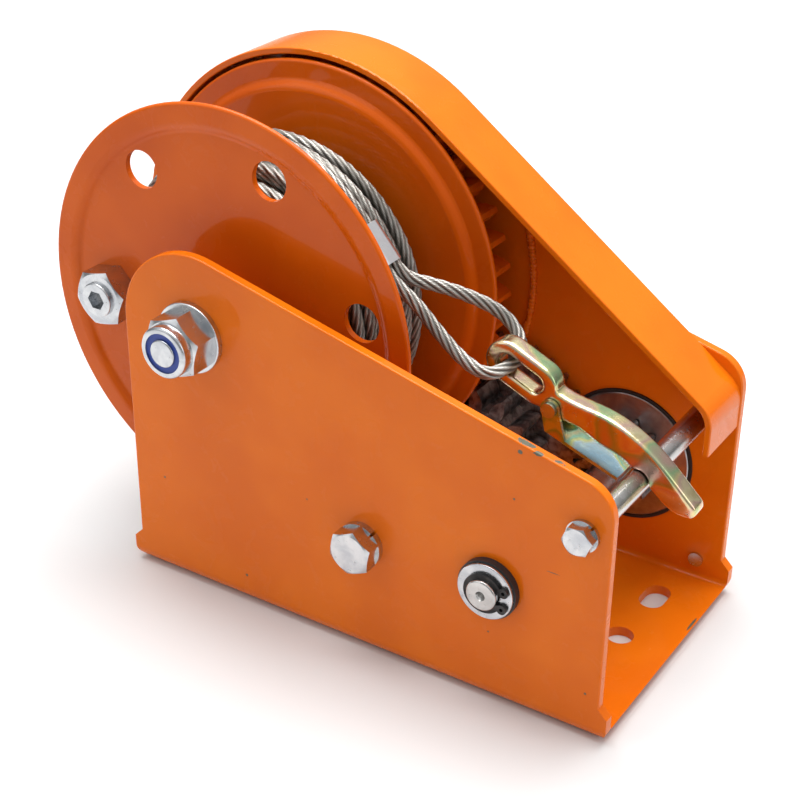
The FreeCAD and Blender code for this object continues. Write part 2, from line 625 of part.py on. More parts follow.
def axle_spacer(way):
    """Thrust washer between a drum bush and its side plate."""
    y0, y1 = sorted((way * (HUB_END + BUSH_COLLAR + END_GAP), way * INNER))
    return ring(HUB_RADIUS, AXLE_RADIUS + 0.3, DRUM_X, DRUM_Z, y0, y1)


# ======================= countershaft ============================================================
COUNTER_BOLT_RADIUS, COUNTER_BOLT_FLATS, COUNTER_HEAD = 5.0, 16.0, 6.4
LOCK_WASHER_SHEET = 2.5


def counter_axle():
    """Fixed shaft between the plates, tapped at both ends."""
    body = rod(COUNTER_RADIUS, COUNTER_X, COUNTER_Z, -INNER, INNER)
    for y0, y1 in ((-INNER - 1, -INNER + 20.0), (INNER - 20.0, INNER + 1)):
        body = body.cut(rod(COUNTER_BOLT_RADIUS, COUNTER_X, COUNTER_Z, y0, y1))
    return body


def counter_bolt(way):
    """Hexagon bolt into one end of the countershaft."""
    seat = way * (HALF + LOCK_WASHER_SHEET)
    y0, y1 = sorted((seat, way * (INNER - 18.0)))
    shank = rod(COUNTER_BOLT_RADIUS, COUNTER_X, COUNTER_Z, y0, y1)
    head = chamfered_hex(COUNTER_BOLT_FLATS, COUNTER_X, COUNTER_Z, seat, seat + way * COUNTER_HEAD, 22.0)
    return shank.fuse(head)


def lock_washer(x, z, way, bore, outer, sheet):
    """Split spring washer, cut through at one place."""
    y0, y1 = sorted((way * HALF, way * (HALF + sheet)))
    body = ring(outer, bore, x, z, y0, y1)
    gap = Part.makeBox(outer + 1, 2 * sheet + 2, 1.0, V(x, y0 - 1, z - 0.5))
    gap.rotate(V(x, 0, z), V(0, 1, 0), -50.0)
    return body.cut(gap)


def counter_spacer():
    """Tube that keeps the countershaft gears against the far side."""
    return ring(SPACER_RADIUS, COUNTER_RADIUS + 0.3, COUNTER_X, COUNTER_Z, -INNER, PINION_Y - 0.3)


def counter_thrust():
    """Thin washer between the large gear and the far plate."""
    y0 = BIG_GEAR_Y + BIG_GEAR_WIDTH + 0.3
    return ring(14.0, COUNTER_RADIUS + 0.3, COUNTER_X, COUNTER_Z, y0, INNER)


# ======================= tie bar ================================================================
def tie_bar():
    """Round bar that spaces the plates at the front and carries the hook."""
    body = rod(TIE_RADIUS, TIE_X, TIE_Z, -INNER, INNER)
    for y0, y1 in ((-INNER - 1, -INNER + 14.0), (INNER - 14.0, INNER + 1)):
        body = body.cut(rod(3.0, TIE_X, TIE_Z, y0, y1))
    return body


def tie_bolt(way):
    """Small hexagon bolt into one end of the tie bar."""
    seat = way * (HALF + 1.5)
    y0, y1 = sorted((seat, way * (INNER - 12.0)))
    shank = rod(3.0, TIE_X, TIE_Z, y0, y1)
    head = chamfered_hex(10.0, TIE_X, TIE_Z, seat, seat + way * 4.2, 8.0)
    return shank.fuse(head)


# ======================= drive shaft and brake =====================================================
NEAR_BUSH_FLANGE, NEAR_BUSH_RADIUS = 2.8, 11.6
DRIVE_WASHER, DRIVE_WASHER_SHEET = 11.0, 1.5
CLIP_SHEET = 1.2
GROOVE_RADIUS = DRIVE_RADIUS - 1.1
SHAFT_NOSE = 1.8           # shaft past its clip
DRIVE_NEAR_END = -HALF - NEAR_BUSH_FLANGE - DRIVE_WASHER_SHEET - CLIP_SHEET - SHAFT_NOSE
PRESSURE_Y, PRESSURE_T, PRESSURE_R = HUB_FACE + 0.8, 3.6, 24.0
PAD_T, PAD_R, PAD_BORE = 2.4, 24.5, 12.0
RATCHET_T, RATCHET_R, RATCHET_ROOT = 5.0, 28.0, 23.5
SLEEVE_R = 9.0
RATCHET_TEETH = 12
RATCHET_ANGLE = 140.0
CRANK_HUB_R, CRANK_FLANGE_T, CRANK_HUB_LENGTH = 13.0, 4.0, 13.0
CRANK_SEAT_LENGTH = 7.0    # round seat of the crank's eye
CRANK_BOSS_R, CRANK_BOSS_FLATS = 11.5, 18.0
CRANK_THREAD = 5.0         # thread radius at the crank end
CRANK_Y = PRESSURE_Y + PRESSURE_T + 2 * PAD_T + RATCHET_T + 0.2
NUT_T = 8.0
NUT_Y = CRANK_Y + CRANK_FLANGE_T + CRANK_HUB_LENGTH + 0.6
THREAD_END = NUT_Y + NUT_T + 0.4


def drive_shaft():
    """Shaft right across the winch, with a ring groove and a centre mark at the near end."""
    body = rod(DRIVE_RADIUS, DRIVE_X, DRIVE_Z, DRIVE_NEAR_END, NUT_Y - 0.4)
    body = body.fuse(rod(CRANK_THREAD, DRIVE_X, DRIVE_Z, NUT_Y - 0.4, THREAD_END)).removeSplitter()
    face = -HALF - NEAR_BUSH_FLANGE - DRIVE_WASHER_SHEET
    body = body.cut(ring(DRIVE_RADIUS + 2.0, GROOVE_RADIUS, DRIVE_X, DRIVE_Z, face - CLIP_SHEET, face))
    body = soften(body, 0.8, lambda e: abs(e.BoundBox.YMax - DRIVE_NEAR_END) < 1e-6)
    drill = Part.makeCone(1.9, 0.4, 2.4, V(DRIVE_X, DRIVE_NEAR_END, DRIVE_Z), V(0, 1, 0))
    return body.cut(drill)


def near_bush():
    """Flanged plastic bush in the near plate."""
    bore = DRIVE_RADIUS + RUNNING_GAP
    sleeve = ring(DRIVE_RADIUS + BUSH_WALL, bore, DRIVE_X, DRIVE_Z, -HALF, -INNER + 1.5)
    collar = ring(NEAR_BUSH_RADIUS, bore, DRIVE_X, DRIVE_Z, -HALF - NEAR_BUSH_FLANGE, -HALF)
    return sleeve.fuse(collar).removeSplitter()


def drive_washer():
    """Plain washer between the bush and the ring clip; it turns with the shaft."""
    y1 = -HALF - NEAR_BUSH_FLANGE - 0.1
    y0 = -HALF - NEAR_BUSH_FLANGE - DRIVE_WASHER_SHEET
    body = ring(DRIVE_WASHER, DRIVE_RADIUS, DRIVE_X, DRIVE_Z, y0, y1)
    return soften(body, 0.4, lambda e: abs(e.BoundBox.YMax - y0) < 1e-6 and e.BoundBox.YLength < 1e-6
                  and e.Length > 60)


def drive_clip():
    """Spring ring with two ears, snapped in the shaft's groove."""
    y1 = -HALF - NEAR_BUSH_FLANGE - DRIVE_WASHER_SHEET
    y0 = y1 - CLIP_SHEET
    x, z = DRIVE_X, DRIVE_Z
    body = ring(DRIVE_RADIUS + 1.8, GROOVE_RADIUS + 0.1, x, z, y0, y1)
    slot = Part.makeBox(12.0, CLIP_SHEET + 2, 4.4, V(x, y0 - 1, z - 2.2))
    body = body.cut(slot)
    for side in (-1.0, 1.0):
        ex, ez = x + DRIVE_RADIUS + 1.7, z + side * 3.5
        ear = ring(1.9, 0.7, ex, ez, y0, y1)
        body = body.fuse(ear)
    body = body.removeSplitter()
    body.rotate(V(x, 0, z), V(0, 1, 0), 4.0)
    return body


def cover_plate():
    """Stepped cover in the far plate's round opening; it holds the shaft's far bush."""
    boss = rod(COVER_RADIUS, DRIVE_X, DRIVE_Z, COVER_FACE, HALF)
    boss = soften(boss, 0.8, lambda e: abs(e.BoundBox.YMax - COVER_FACE) < 1e-6)
    flange = rod(COVER_FLANGE, DRIVE_X, DRIVE_Z, HALF, HUB_FACE)
    flange = soften(flange, 0.8, lambda e: abs(e.BoundBox.YMin - HUB_FACE) < 1e-6)
    body = boss.fuse(flange).removeSplitter()
    return body.cut(rod(DRIVE_RADIUS + BUSH_WALL, DRIVE_X, DRIVE_Z, COVER_FACE - 1, HUB_FACE + 1))


def cover_seal():
    """Black ring that fills the gap round the cover's boss."""
    return ring(COVER_HOLE + 0.3, COVER_RADIUS, DRIVE_X, DRIVE_Z, COVER_FACE + 0.2, INNER).fuse(
        ring(COVER_HOLE, COVER_RADIUS, DRIVE_X, DRIVE_Z, INNER, HALF)).removeSplitter()


def far_bush():
    """Bronze bush in the cover plate."""
    return ring(DRIVE_RADIUS + BUSH_WALL, DRIVE_RADIUS + RUNNING_GAP, DRIVE_X, DRIVE_Z, COVER_FACE, HUB_FACE)


def pressure_disc():
    """Disc and sleeve keyed to the shaft; the brake closes against it."""
    disc = ring(PRESSURE_R, DRIVE_RADIUS, DRIVE_X, DRIVE_Z, PRESSURE_Y, PRESSURE_Y + PRESSURE_T)
    y1 = PRESSURE_Y + PRESSURE_T
    sleeve = ring(SLEEVE_R, DRIVE_RADIUS, DRIVE_X, DRIVE_Z, y1, y1 + 2 * PAD_T + RATCHET_T + 0.2)
    return disc.fuse(sleeve).removeSplitter()


def friction_disc(y0):
    """Friction disc beside the ratchet wheel."""
    return ring(PAD_R, PAD_BORE, DRIVE_X, DRIVE_Z, y0, y0 + PAD_T)


def ratchet_y():
    """Near face of the ratchet wheel."""
    return PRESSURE_Y + PRESSURE_T + PAD_T + 0.1


def ratchet_wheel():
    """Saw-toothed wheel that turns freely on the sleeve when the brake is slack."""
    edges = []
    step = 360.0 / RATCHET_TEETH
    for i in range(RATCHET_TEETH):
        a = RATCHET_ANGLE + i * step
        low = around(DRIVE_X, DRIVE_Z, RATCHET_ROOT, a)
        high = around(DRIVE_X, DRIVE_Z, RATCHET_R, a)
        after = around(DRIVE_X, DRIVE_Z, RATCHET_ROOT, a + step)
        land = around(DRIVE_X, DRIVE_Z, RATCHET_R, a + 3.0)
        edges += [line(low, high), line(high, land), line(land, after)]
    y0 = ratchet_y()
    body = prism(edges, y0, y0 + RATCHET_T)
    return body.cut(rod(SLEEVE_R + RUNNING_GAP, DRIVE_X, DRIVE_Z, y0 - 1, y0 + RATCHET_T + 1))


def crank_hub():
    """Threaded hub that the crank fits on; turning it closes the brake."""
    seat = CRANK_Y + CRANK_FLANGE_T
    end = NUT_Y - 0.6
    disc = ring(PRESSURE_R, DRIVE_RADIUS, DRIVE_X, DRIVE_Z, CRANK_Y, seat)
    eye_seat = ring(CRANK_HUB_R, DRIVE_RADIUS, DRIVE_X, DRIVE_Z, seat, seat + CRANK_SEAT_LENGTH)
    boss = ring(CRANK_BOSS_R, DRIVE_RADIUS, DRIVE_X, DRIVE_Z, seat + CRANK_SEAT_LENGTH, end)
    half = CRANK_BOSS_FLATS / 2.0
    cuts = []
    for low in (half, -half - 10.0):
        cuts.append(Part.makeBox(30.0, 20.0, 10.0, V(DRIVE_X - 15.0, seat + CRANK_SEAT_LENGTH, DRIVE_Z + low)))
    return disc.fuse([eye_seat, boss.cut(cuts)]).removeSplitter()


def crank_nut():
    """Locking nut that keeps the hub on the shaft."""
    body = chamfered_hex(17.0, DRIVE_X, DRIVE_Z, NUT_Y, NUT_Y + NUT_T - 2.0, 5.0)
    body = body.fuse(rod(7.4, DRIVE_X, DRIVE_Z, NUT_Y + NUT_T - 2.0, NUT_Y + NUT_T)).removeSplitter()
    return body.cut(rod(CRANK_THREAD, DRIVE_X, DRIVE_Z, NUT_Y - 1, NUT_Y + NUT_T + 1))


def crank_washer():
    """Washer under the crank nut."""
    return ring(10.5, CRANK_THREAD + 0.2, DRIVE_X, DRIVE_Z, NUT_Y - 0.4, NUT_Y)


# ======================= pawl =====================================================================
PAWL_BOSS, PAWL_PIN, PIN_SHOULDER, PAWL_LEVEL = 7.5, 4.0, 5.8, 26.0
PAWL_ARM = math.sqrt((COVER_FLANGE + PIN_SHOULDER + 0.4) ** 2 - PAWL_LEVEL ** 2)
PAWL_GAP = 0.3
SPRING_WIRE = 1.4


def pawl_axes():
    """Pawl pivot, the ratchet face's outward direction and its clockwise side."""
    a = math.radians(RATCHET_ANGLE)
    out = (math.cos(a), math.sin(a))
    side = (math.sin(a), -math.cos(a))
    px = DRIVE_X + PAWL_LEVEL * out[0] + PAWL_ARM * side[0]
    pz = DRIVE_Z + PAWL_LEVEL * out[1] + PAWL_ARM * side[1]
    return (px, pz), out, side


def pawl():
    """Catch that drops behind a ratchet tooth."""
    (px, pz), out, side = pawl_axes()

    def at(radial, along):
        return (DRIVE_X + radial * out[0] + along * side[0], DRIVE_Z + radial * out[1] + along * side[1])

    tip_in = at(RATCHET_ROOT + 0.8, PAWL_GAP)
    tip_out = at(RATCHET_R + 2.0, PAWL_GAP)
    back = (px + PAWL_BOSS * out[0], pz + PAWL_BOSS * out[1])
    front = (px - PAWL_BOSS * out[0], pz - PAWL_BOSS * out[1])
    clear = around(DRIVE_X, DRIVE_Z, RATCHET_R + 1.0, RATCHET_ANGLE - 28.0)
    y0 = ratchet_y()
    body = polygon([tip_in, tip_out, back, front, clear], y0, y0 + RATCHET_T)
    body = body.fuse(rod(PAWL_BOSS, px, pz, y0, y0 + RATCHET_T)).removeSplitter()
    return body.cut(rod(PAWL_PIN + RUNNING_GAP, px, pz, y0 - 1, y0 + RATCHET_T + 1))


def pawl_pin():
    """Shouldered stud on the outside of the far plate that carries the pawl."""
    (px, pz), _, _ = pawl_axes()
    y0 = ratchet_y()
    shoulder = rod(PIN_SHOULDER, px, pz, HALF, y0 - 0.3)
    shank = rod(PAWL_PIN, px, pz, HALF, y0 + RATCHET_T + 6.0)
    head = rod(6.5, px, pz, y0 + RATCHET_T + 5.0, y0 + RATCHET_T + 7.0)
    return shoulder.fuse([shank, head]).removeSplitter()


def pawl_spring():
    """Torsion spring round the stud: a close coil, one leg by the pawl, one by its stop."""
    (px, pz), out, side = pawl_axes()
    y0 = ratchet_y() + RATCHET_T + 0.5
    coil = ring(PAWL_PIN + 0.4 + SPRING_WIRE, PAWL_PIN + 0.4, px, pz, y0, y0 + 3.0)
    r = PAWL_PIN + 0.4 + SPRING_WIRE / 2.0
    yw = y0 + SPRING_WIRE / 2.0
    a = V(px + r * out[0], yw, pz + r * out[1])
    leg = Part.makeCylinder(SPRING_WIRE / 2.0, 15.0, a, V(-side[0], 0, -side[1]))
    b = V(px - r * out[0], yw + 1.5, pz - r * out[1])
    tail = Part.makeCylinder(SPRING_WIRE / 2.0, 12.0, b, V(side[0], 0, side[1]))
    return coil.fuse([leg, tail]).removeSplitter()


def spring_stop():
    """Short stud that the spring's fixed leg bears on."""
    (px, pz), out, side = pawl_axes()
    r = PAWL_PIN + 0.4 + SPRING_WIRE + 2.8
    x = px - r * out[0] + 10.0 * side[0]
    z = pz - r * out[1] + 10.0 * side[1]
    return rod(2.5, x, z, HALF, ratchet_y() + RATCHET_T + 4.5)


# ======================= rope lead, ferrule and hook ================================================
def route_wire(points):
    """Straight runs joined by tangent arcs, as large as the two runs allow."""
    pts = [V(*p) for p in points]
    edges = []
    radii = []
    last = pts[0]
    for i in range(1, len(pts) - 1):
        before = pts[i].sub(pts[i - 1])
        after = pts[i + 1].sub(pts[i])
        reach = 0.45 * min(before.Length, after.Length)
        turn = before.getAngle(after)
        radii.append(round(reach / math.tan(turn / 2.0), 1))
        u = V(before).normalize()
        w = V(after).normalize()
        start = pts[i].sub(u * reach)
        end = pts[i].add(w * reach)
        into = V(w.sub(u)).normalize()
        radius = reach / math.tan(turn / 2.0)
        centre = pts[i].add(into * (radius / math.cos(turn / 2.0)))
        mid = centre.sub(into * radius)
        edges.append(Part.LineSegment(last, start).toShape())
        edges.append(Part.Arc(start, mid, end).toShape())
        last = end
    edges.append(Part.LineSegment(last, pts[-1]).toShape())
    return Part.Wire(edges), radii


def rope_lead():
    """Rope from the drum through the ferrule, round the hook's eye and back."""
    wire, radii = route_wire(LEAD_ROUTE)
    start = wire.Edges[0].valueAt(wire.Edges[0].FirstParameter)
    way = wire.Edges[0].tangentAt(wire.Edges[0].FirstParameter)
    circle = Part.Wire([Part.makeCircle(ROPE_DIAMETER / 2.0, start, way)])
    tube = wire.makePipeShell([circle], True, False)
    section = math.pi * ROPE_DIAMETER ** 2 / 4.0
    print("rope lead radii", radii)
    print("rope lead length", round(wire.Length, 1), "volume ratio", round(tube.Volume / section / wire.Length, 4))
    return tube


def ferrule():
    """Pressed oval sleeve on the two parts of the rope."""
    a, b = V(*LEAD_ROUTE[FERRULE_RUN]), V(*LEAD_ROUTE[FERRULE_RUN + 1])
    way = V(a.sub(b)).normalize()
    nose = b.add(way * FERRULE_NOSE)
    beside = V(0, LEAD_ROUTE[-1][1] - b.y, 0)
    outer = ROPE_DIAMETER / 2.0 + FERRULE_WALL
    bore = ROPE_DIAMETER / 2.0 + 0.1
    one = Part.makeCylinder(outer, FERRULE_LENGTH, nose, way)
    two = Part.makeCylinder(outer, FERRULE_LENGTH, nose.add(beside), way)
    up = way.cross(V(0, 1, 0))
    corner = nose.sub(up * outer)
    far = corner.add(beside)
    outline = Part.makePolygon([corner, far, far.add(up * (2 * outer)), corner.add(up * (2 * outer)), corner])
    web = Part.Face(outline).extrude(way * FERRULE_LENGTH)
    body = one.fuse([two, web]).removeSplitter()
    dead_end = V(*LEAD_ROUTE[-1]).sub(b.add(beside)).Length
    through = Part.makeCylinder(bore, FERRULE_LENGTH + 2, nose.sub(way), way)
    blind = Part.makeCylinder(bore, dead_end - FERRULE_NOSE + 1.3, nose.add(beside).sub(way), way)
    return body.cut([through, blind])


def obround(cx, cz, tilt, half, radius, y0, y1):
    """Bar with round ends in the XZ plane."""
    t = math.radians(tilt)
    d = (math.cos(t), math.sin(t))
    n = (-math.sin(t), math.cos(t))
    a = (cx - half * d[0], cz - half * d[1])
    b = (cx + half * d[0], cz + half * d[1])

    def off(p, along, across):
        return p[0] + along * d[0] + across * n[0], p[1] + along * d[1] + across * n[1]

    edges = [line(off(a, 0, radius), off(b, 0, radius)),
             arc(off(b, 0, radius), off(b, radius, 0), off(b, 0, -radius)),
             line(off(b, 0, -radius), off(a, 0, -radius)),
             arc(off(a, 0, -radius), off(a, -radius, 0), off(a, 0, radius))]
    return prism(edges, y0, y1)


HOOK_BACK = ((56.0, 110.6), (63.0, 107.6), (77.0, 105.2), (89.0, 101.0), (98.0, 95.4), (106.5, 88.0),
             (114.2, 80.6))
HOOK_NOSE = (115.0, 78.2)
HOOK_THROAT = ((110.6, 75.6), (104.0, 77.2), (99.6, 80.6))
HOOK_INNER = ((86.0, 90.6), (77.0, 93.6), (68.5, 97.6), (60.0, 98.6), (52.0, 101.6))


def hook():
    """Flat forged hook, laid over the tie bar with its throat down."""
    y0, y1 = HOOK_Y, HOOK_Y + HOOK_THICKNESS
    rest = TIE_RADIUS + 0.3
    right = around(TIE_X, TIE_Z, rest, -8.0)
    crown = around(TIE_X, TIE_Z, rest, 60.0)
    left = around(TIE_X, TIE_Z, rest, 118.0)
    back = [V(p[0], 0, p[1]) for p in HOOK_BACK]
    outer = Part.BSplineCurve()
    outer.interpolate(back)
    nose_low = V(HOOK_THROAT[0][0], 0, HOOK_THROAT[0][1])
    nose = Part.Arc(back[-1], V(HOOK_NOSE[0], 0, HOOK_NOSE[1]), nose_low).toShape()
    throat = Part.BSplineCurve()
    throat.interpolate([nose_low] + [V(p[0], 0, p[1]) for p in HOOK_THROAT[1:]] + [V(right[0], 0, right[1])])
    inner = Part.BSplineCurve()
    inner.interpolate([V(left[0], 0, left[1])] + [V(p[0], 0, p[1]) for p in HOOK_INNER])
    edges = [outer.toShape(), nose, throat.toShape(), arc(right, crown, left), inner.toShape(),
             line(HOOK_INNER[-1], HOOK_BACK[0])]
    body = prism(edges, y0, y1)
    eye = obround(EYE_X, EYE_Z, EYE_TILT, EYE_HALF, EYE_OUTER, y0, y1)
    body = body.fuse(eye).removeSplitter()
    body = body.cut(obround(EYE_X, EYE_Z, EYE_TILT, EYE_HOLE_HALF, EYE_HOLE, y0 - 1, y1 + 1))

    def faces(e):
        m = e.valueAt((e.FirstParameter + e.LastParameter) / 2.0)
        return e.BoundBox.YLength < 1e-6 and min(abs(m.y - y0), abs(m.y - y1)) < 1e-6 and e.Length > 2.0

    body = soften(body, 1.0, faces)
    return body.cut(rod(LATCH_PIN, LATCH_X, LATCH_Z, y0 - 1, y1 + 1))


LATCH_X, LATCH_Z, LATCH_PIN = 58.0, 102.6, 1.6
LATCH_HEEL = (57.0, 94.6)
LATCH_TIP = (TIE_X - TIE_RADIUS - 1.6, TIE_Z + 0.5)
LATCH_EAR = 3.6
LATCH_SIDE_GAP = 0.3


def latch():
    """Sheet latch: a tongue that bears on the tie bar, and two ears on the hook's pin."""
    dx, dz = LATCH_TIP[0] - LATCH_HEEL[0], LATCH_TIP[1] - LATCH_HEEL[1]
    n = math.hypot(dx, dz)
    d, up = (dx / n, dz / n), (-dz / n, dx / n)
    low = HOOK_Y - LATCH_SIDE_GAP
    high = HOOK_Y + HOOK_THICKNESS + LATCH_SIDE_GAP

    def at(along, across):
        return LATCH_HEEL[0] + along * d[0] + across * up[0], LATCH_HEEL[1] + along * d[1] + across * up[1]

    tongue = polygon([at(0.0, 0.0), at(n, 0.0), at(n, -LATCH_SHEET), at(0.0, -LATCH_SHEET)],
                     low - LATCH_SHEET, high + LATCH_SHEET)
    ears = []
    for y0 in (low - LATCH_SHEET, high):
        y1 = y0 + LATCH_SHEET
        plate = polygon([at(0.0, -LATCH_SHEET), at(9.0, -LATCH_SHEET), (LATCH_X + LATCH_EAR, LATCH_Z - 0.4),
                         (LATCH_X - LATCH_EAR, LATCH_Z + 0.4)], y0, y1)
        ears.append(plate.fuse(rod(LATCH_EAR, LATCH_X, LATCH_Z, y0, y1)))
    body = tongue.fuse(ears).removeSplitter()
    return body.cut([rod(LATCH_PIN + RUNNING_GAP, LATCH_X, LATCH_Z, low - LATCH_SHEET - 1, low),
                     rod(LATCH_PIN + RUNNING_GAP, LATCH_X, LATCH_Z, high, high + LATCH_SHEET + 1)])


def latch_pin():
    """Rivet through the hook and both latch cheeks."""
    y0 = HOOK_Y - LATCH_SIDE_GAP - LATCH_SHEET - 0.2
    y1 = HOOK_Y + HOOK_THICKNESS + LATCH_SIDE_GAP + LATCH_SHEET + 0.2
    shank = rod(LATCH_PIN, LATCH_X, LATCH_Z, y0, y1)
    return shank.fuse([rod(2.8, LATCH_X, LATCH_Z, y0 - 1.2, y0),
                       rod(2.8, LATCH_X, LATCH_Z, y1, y1 + 1.2)]).removeSplitter()


def main():
    """Build and write every node."""
    nodes = {
        "frame": frame(), "plate_rivet": plate_rivet(), "gear_guard": gear_guard(),
        "drum_gear": drum_gear(), "near_flange": near_flange(), "far_flange": far_flange(),
        "drum_barrel": drum_barrel(), "drum_hub": drum_hub(), "drum_bush_near": drum_bush(-1.0), "drum_bush_far": drum_bush(1.0),
        "anchor_screw": anchor_screw(), "anchor_nut": anchor_nut(), "rope_coil": rope_coil(),
        "axle_bolt": axle_bolt(), "axle_washer_near": axle_washer(-1.0),
        "axle_washer_far": axle_washer(1.0), "axle_nut": axle_nut(), "axle_nut_ring": axle_nut_ring(),
        "axle_spacer_near": axle_spacer(-1.0), "axle_spacer_far": axle_spacer(1.0), "counter_axle": counter_axle(),
        "counter_bolt_near": counter_bolt(-1.0), "counter_bolt_far": counter_bolt(1.0),
        "counter_lock_washer_near": lock_washer(COUNTER_X, COUNTER_Z, -1.0, 5.2, 9.0, LOCK_WASHER_SHEET),
        "counter_lock_washer_far": lock_washer(COUNTER_X, COUNTER_Z, 1.0, 5.2, 9.0, LOCK_WASHER_SHEET),
        "counter_spacer": counter_spacer(), "counter_thrust": counter_thrust(),
        "counter_pinion": counter_pinion(), "counter_gear": counter_gear(),
        "counter_bush": counter_bush(), "tie_bar": tie_bar(), "tie_bolt_near": tie_bolt(-1.0),
        "tie_bolt_far": tie_bolt(1.0),
        "tie_washer_near": lock_washer(TIE_X, TIE_Z, -1.0, 3.1, 6.0, 1.5),
        "tie_washer_far": lock_washer(TIE_X, TIE_Z, 1.0, 3.1, 6.0, 1.5),
        "drive_shaft": drive_shaft(), "drive_pinion": drive_pinion(), "near_bush": near_bush(),
        "drive_washer": drive_washer(), "drive_clip": drive_clip(), "cover_plate": cover_plate(),
        "cover_seal": cover_seal(), "far_bush": far_bush(), "pressure_disc": pressure_disc(),
        "friction_disc_inner": friction_disc(PRESSURE_Y + PRESSURE_T),
        "friction_disc_outer": friction_disc(ratchet_y() + RATCHET_T + 0.1), "ratchet_wheel": ratchet_wheel(),
        "crank_hub": crank_hub(), "crank_nut": crank_nut(), "crank_washer": crank_washer(),
        "pawl": pawl(), "pawl_pin": pawl_pin(), "pawl_spring": pawl_spring(),
        "spring_stop": spring_stop(), "rope_lead": rope_lead(), "ferrule": ferrule(),
        "hook": hook(), "hook_latch": latch(), "latch_pin": latch_pin(),
    }
    for name, shape in nodes.items():
        save(shape, name)


main()
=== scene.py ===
"""Looks of a boat trailer hand winch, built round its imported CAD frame.

The frame gives every metal part its place.  This script dresses those parts, winds the
wire rope on the drum and through the hook, forges the hook, and lays the weld beads.
Metres throughout; +X is the open front, +Y the crank side, +Z up.
"""
from __future__ import annotations

import logging
import math
from dataclasses import dataclass
from enum import Enum
from typing import Any, Dict, List, Optional, Sequence, Tuple, Union

import bmesh
import bpy
import numpy as np
from mathutils import Matrix, Vector

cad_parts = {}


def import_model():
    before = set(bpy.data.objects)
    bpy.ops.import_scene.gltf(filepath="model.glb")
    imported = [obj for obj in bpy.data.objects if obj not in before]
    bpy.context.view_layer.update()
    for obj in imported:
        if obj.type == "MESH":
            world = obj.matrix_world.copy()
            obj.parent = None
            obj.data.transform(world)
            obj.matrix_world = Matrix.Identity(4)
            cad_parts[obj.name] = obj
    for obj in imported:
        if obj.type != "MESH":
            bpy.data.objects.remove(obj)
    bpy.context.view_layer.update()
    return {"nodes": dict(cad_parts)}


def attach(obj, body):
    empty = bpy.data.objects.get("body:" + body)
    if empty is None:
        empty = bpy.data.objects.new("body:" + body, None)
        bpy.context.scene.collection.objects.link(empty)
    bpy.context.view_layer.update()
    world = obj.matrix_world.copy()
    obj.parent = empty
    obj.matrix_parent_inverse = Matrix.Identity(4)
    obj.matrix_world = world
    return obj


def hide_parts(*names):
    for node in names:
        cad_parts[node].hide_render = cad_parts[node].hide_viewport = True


LOG = logging.getLogger("winch")
MM = 0.001
Point = Tuple[float, float, float]
Colour = Tuple[float, float, float]

DRUM_AXIS = (-70.5 * MM, 111.0 * MM)      # x and z of the drum's axle
ROPE_DIAMETER = 5.0 * MM
ROPE_LAY = 33.0 * MM                      # one turn of the strands


# --------------------------------------------------------------------------- shader maths
class Value:
    """A shader socket, or a plain number, that can be used in Python expressions."""

    def __init__(self, shader: "Shader", socket: Any) -> None:
        """Wraps a socket of the shader's tree.

        Args:
            shader: The shader whose tree holds the socket.
            socket: An output socket.
        """
        self.shader = shader
        self.socket = socket

    def _math(self, operation: str, other: "Number", flipped: bool = False) -> "Value":
        """Adds a Math node.

        Args:
            operation: The Math node's operation.
            other: The second operand.
            flipped: True if the other operand comes first.

        Returns:
            The node's result.
        """
        pair = (other, self) if flipped else (self, other)
        return self.shader.node("ShaderNodeMath", {"operation": operation}, dict(enumerate(pair)))

    def __add__(self, other: "Number") -> "Value":
        """Sum."""
        return self._math("ADD", other)

    def __radd__(self, other: "Number") -> "Value":
        """Reflected sum."""
        return self._math("ADD", other, True)

    def __sub__(self, other: "Number") -> "Value":
        """Difference."""
        return self._math("SUBTRACT", other)

    def __rsub__(self, other: "Number") -> "Value":
        """Reflected difference."""
        return self._math("SUBTRACT", other, True)

    def __mul__(self, other: "Number") -> "Value":
        """Product."""
        return self._math("MULTIPLY", other)

    def __rmul__(self, other: "Number") -> "Value":
        """Reflected product."""
        return self._math("MULTIPLY", other, True)

    def __truediv__(self, other: "Number") -> "Value":
        """Quotient."""
        return self._math("DIVIDE", other)

    def __pow__(self, other: "Number") -> "Value":
        """Power."""
        return self._math("POWER", other)

    def maximum(self, other: "Number") -> "Value":
        """Larger of the two."""
        return self._math("MAXIMUM", other)

    def sine(self) -> "Value":
        """Sine."""
        return self.shader.node("ShaderNodeMath", {"operation": "SINE"}, {0: self})

    def absolute(self) -> "Value":
        """Size without sign."""
        return self.shader.node("ShaderNodeMath", {"operation": "ABSOLUTE"}, {0: self})

    def ramp(self, low: float, high: float) -> "Value":
        """Smooth step from 0 to 1.

        Args:
            low: Value where the step starts.
            high: Value where it ends.

        Returns:
            The stepped value.
        """
        settings = {"interpolation_type": "SMOOTHSTEP"}
        inputs = {0: self, 1: low, 2: high, 3: 0.0, 4: 1.0}
        return self.shader.node("ShaderNodeMapRange", settings, inputs)


Number = Union[Value, float]


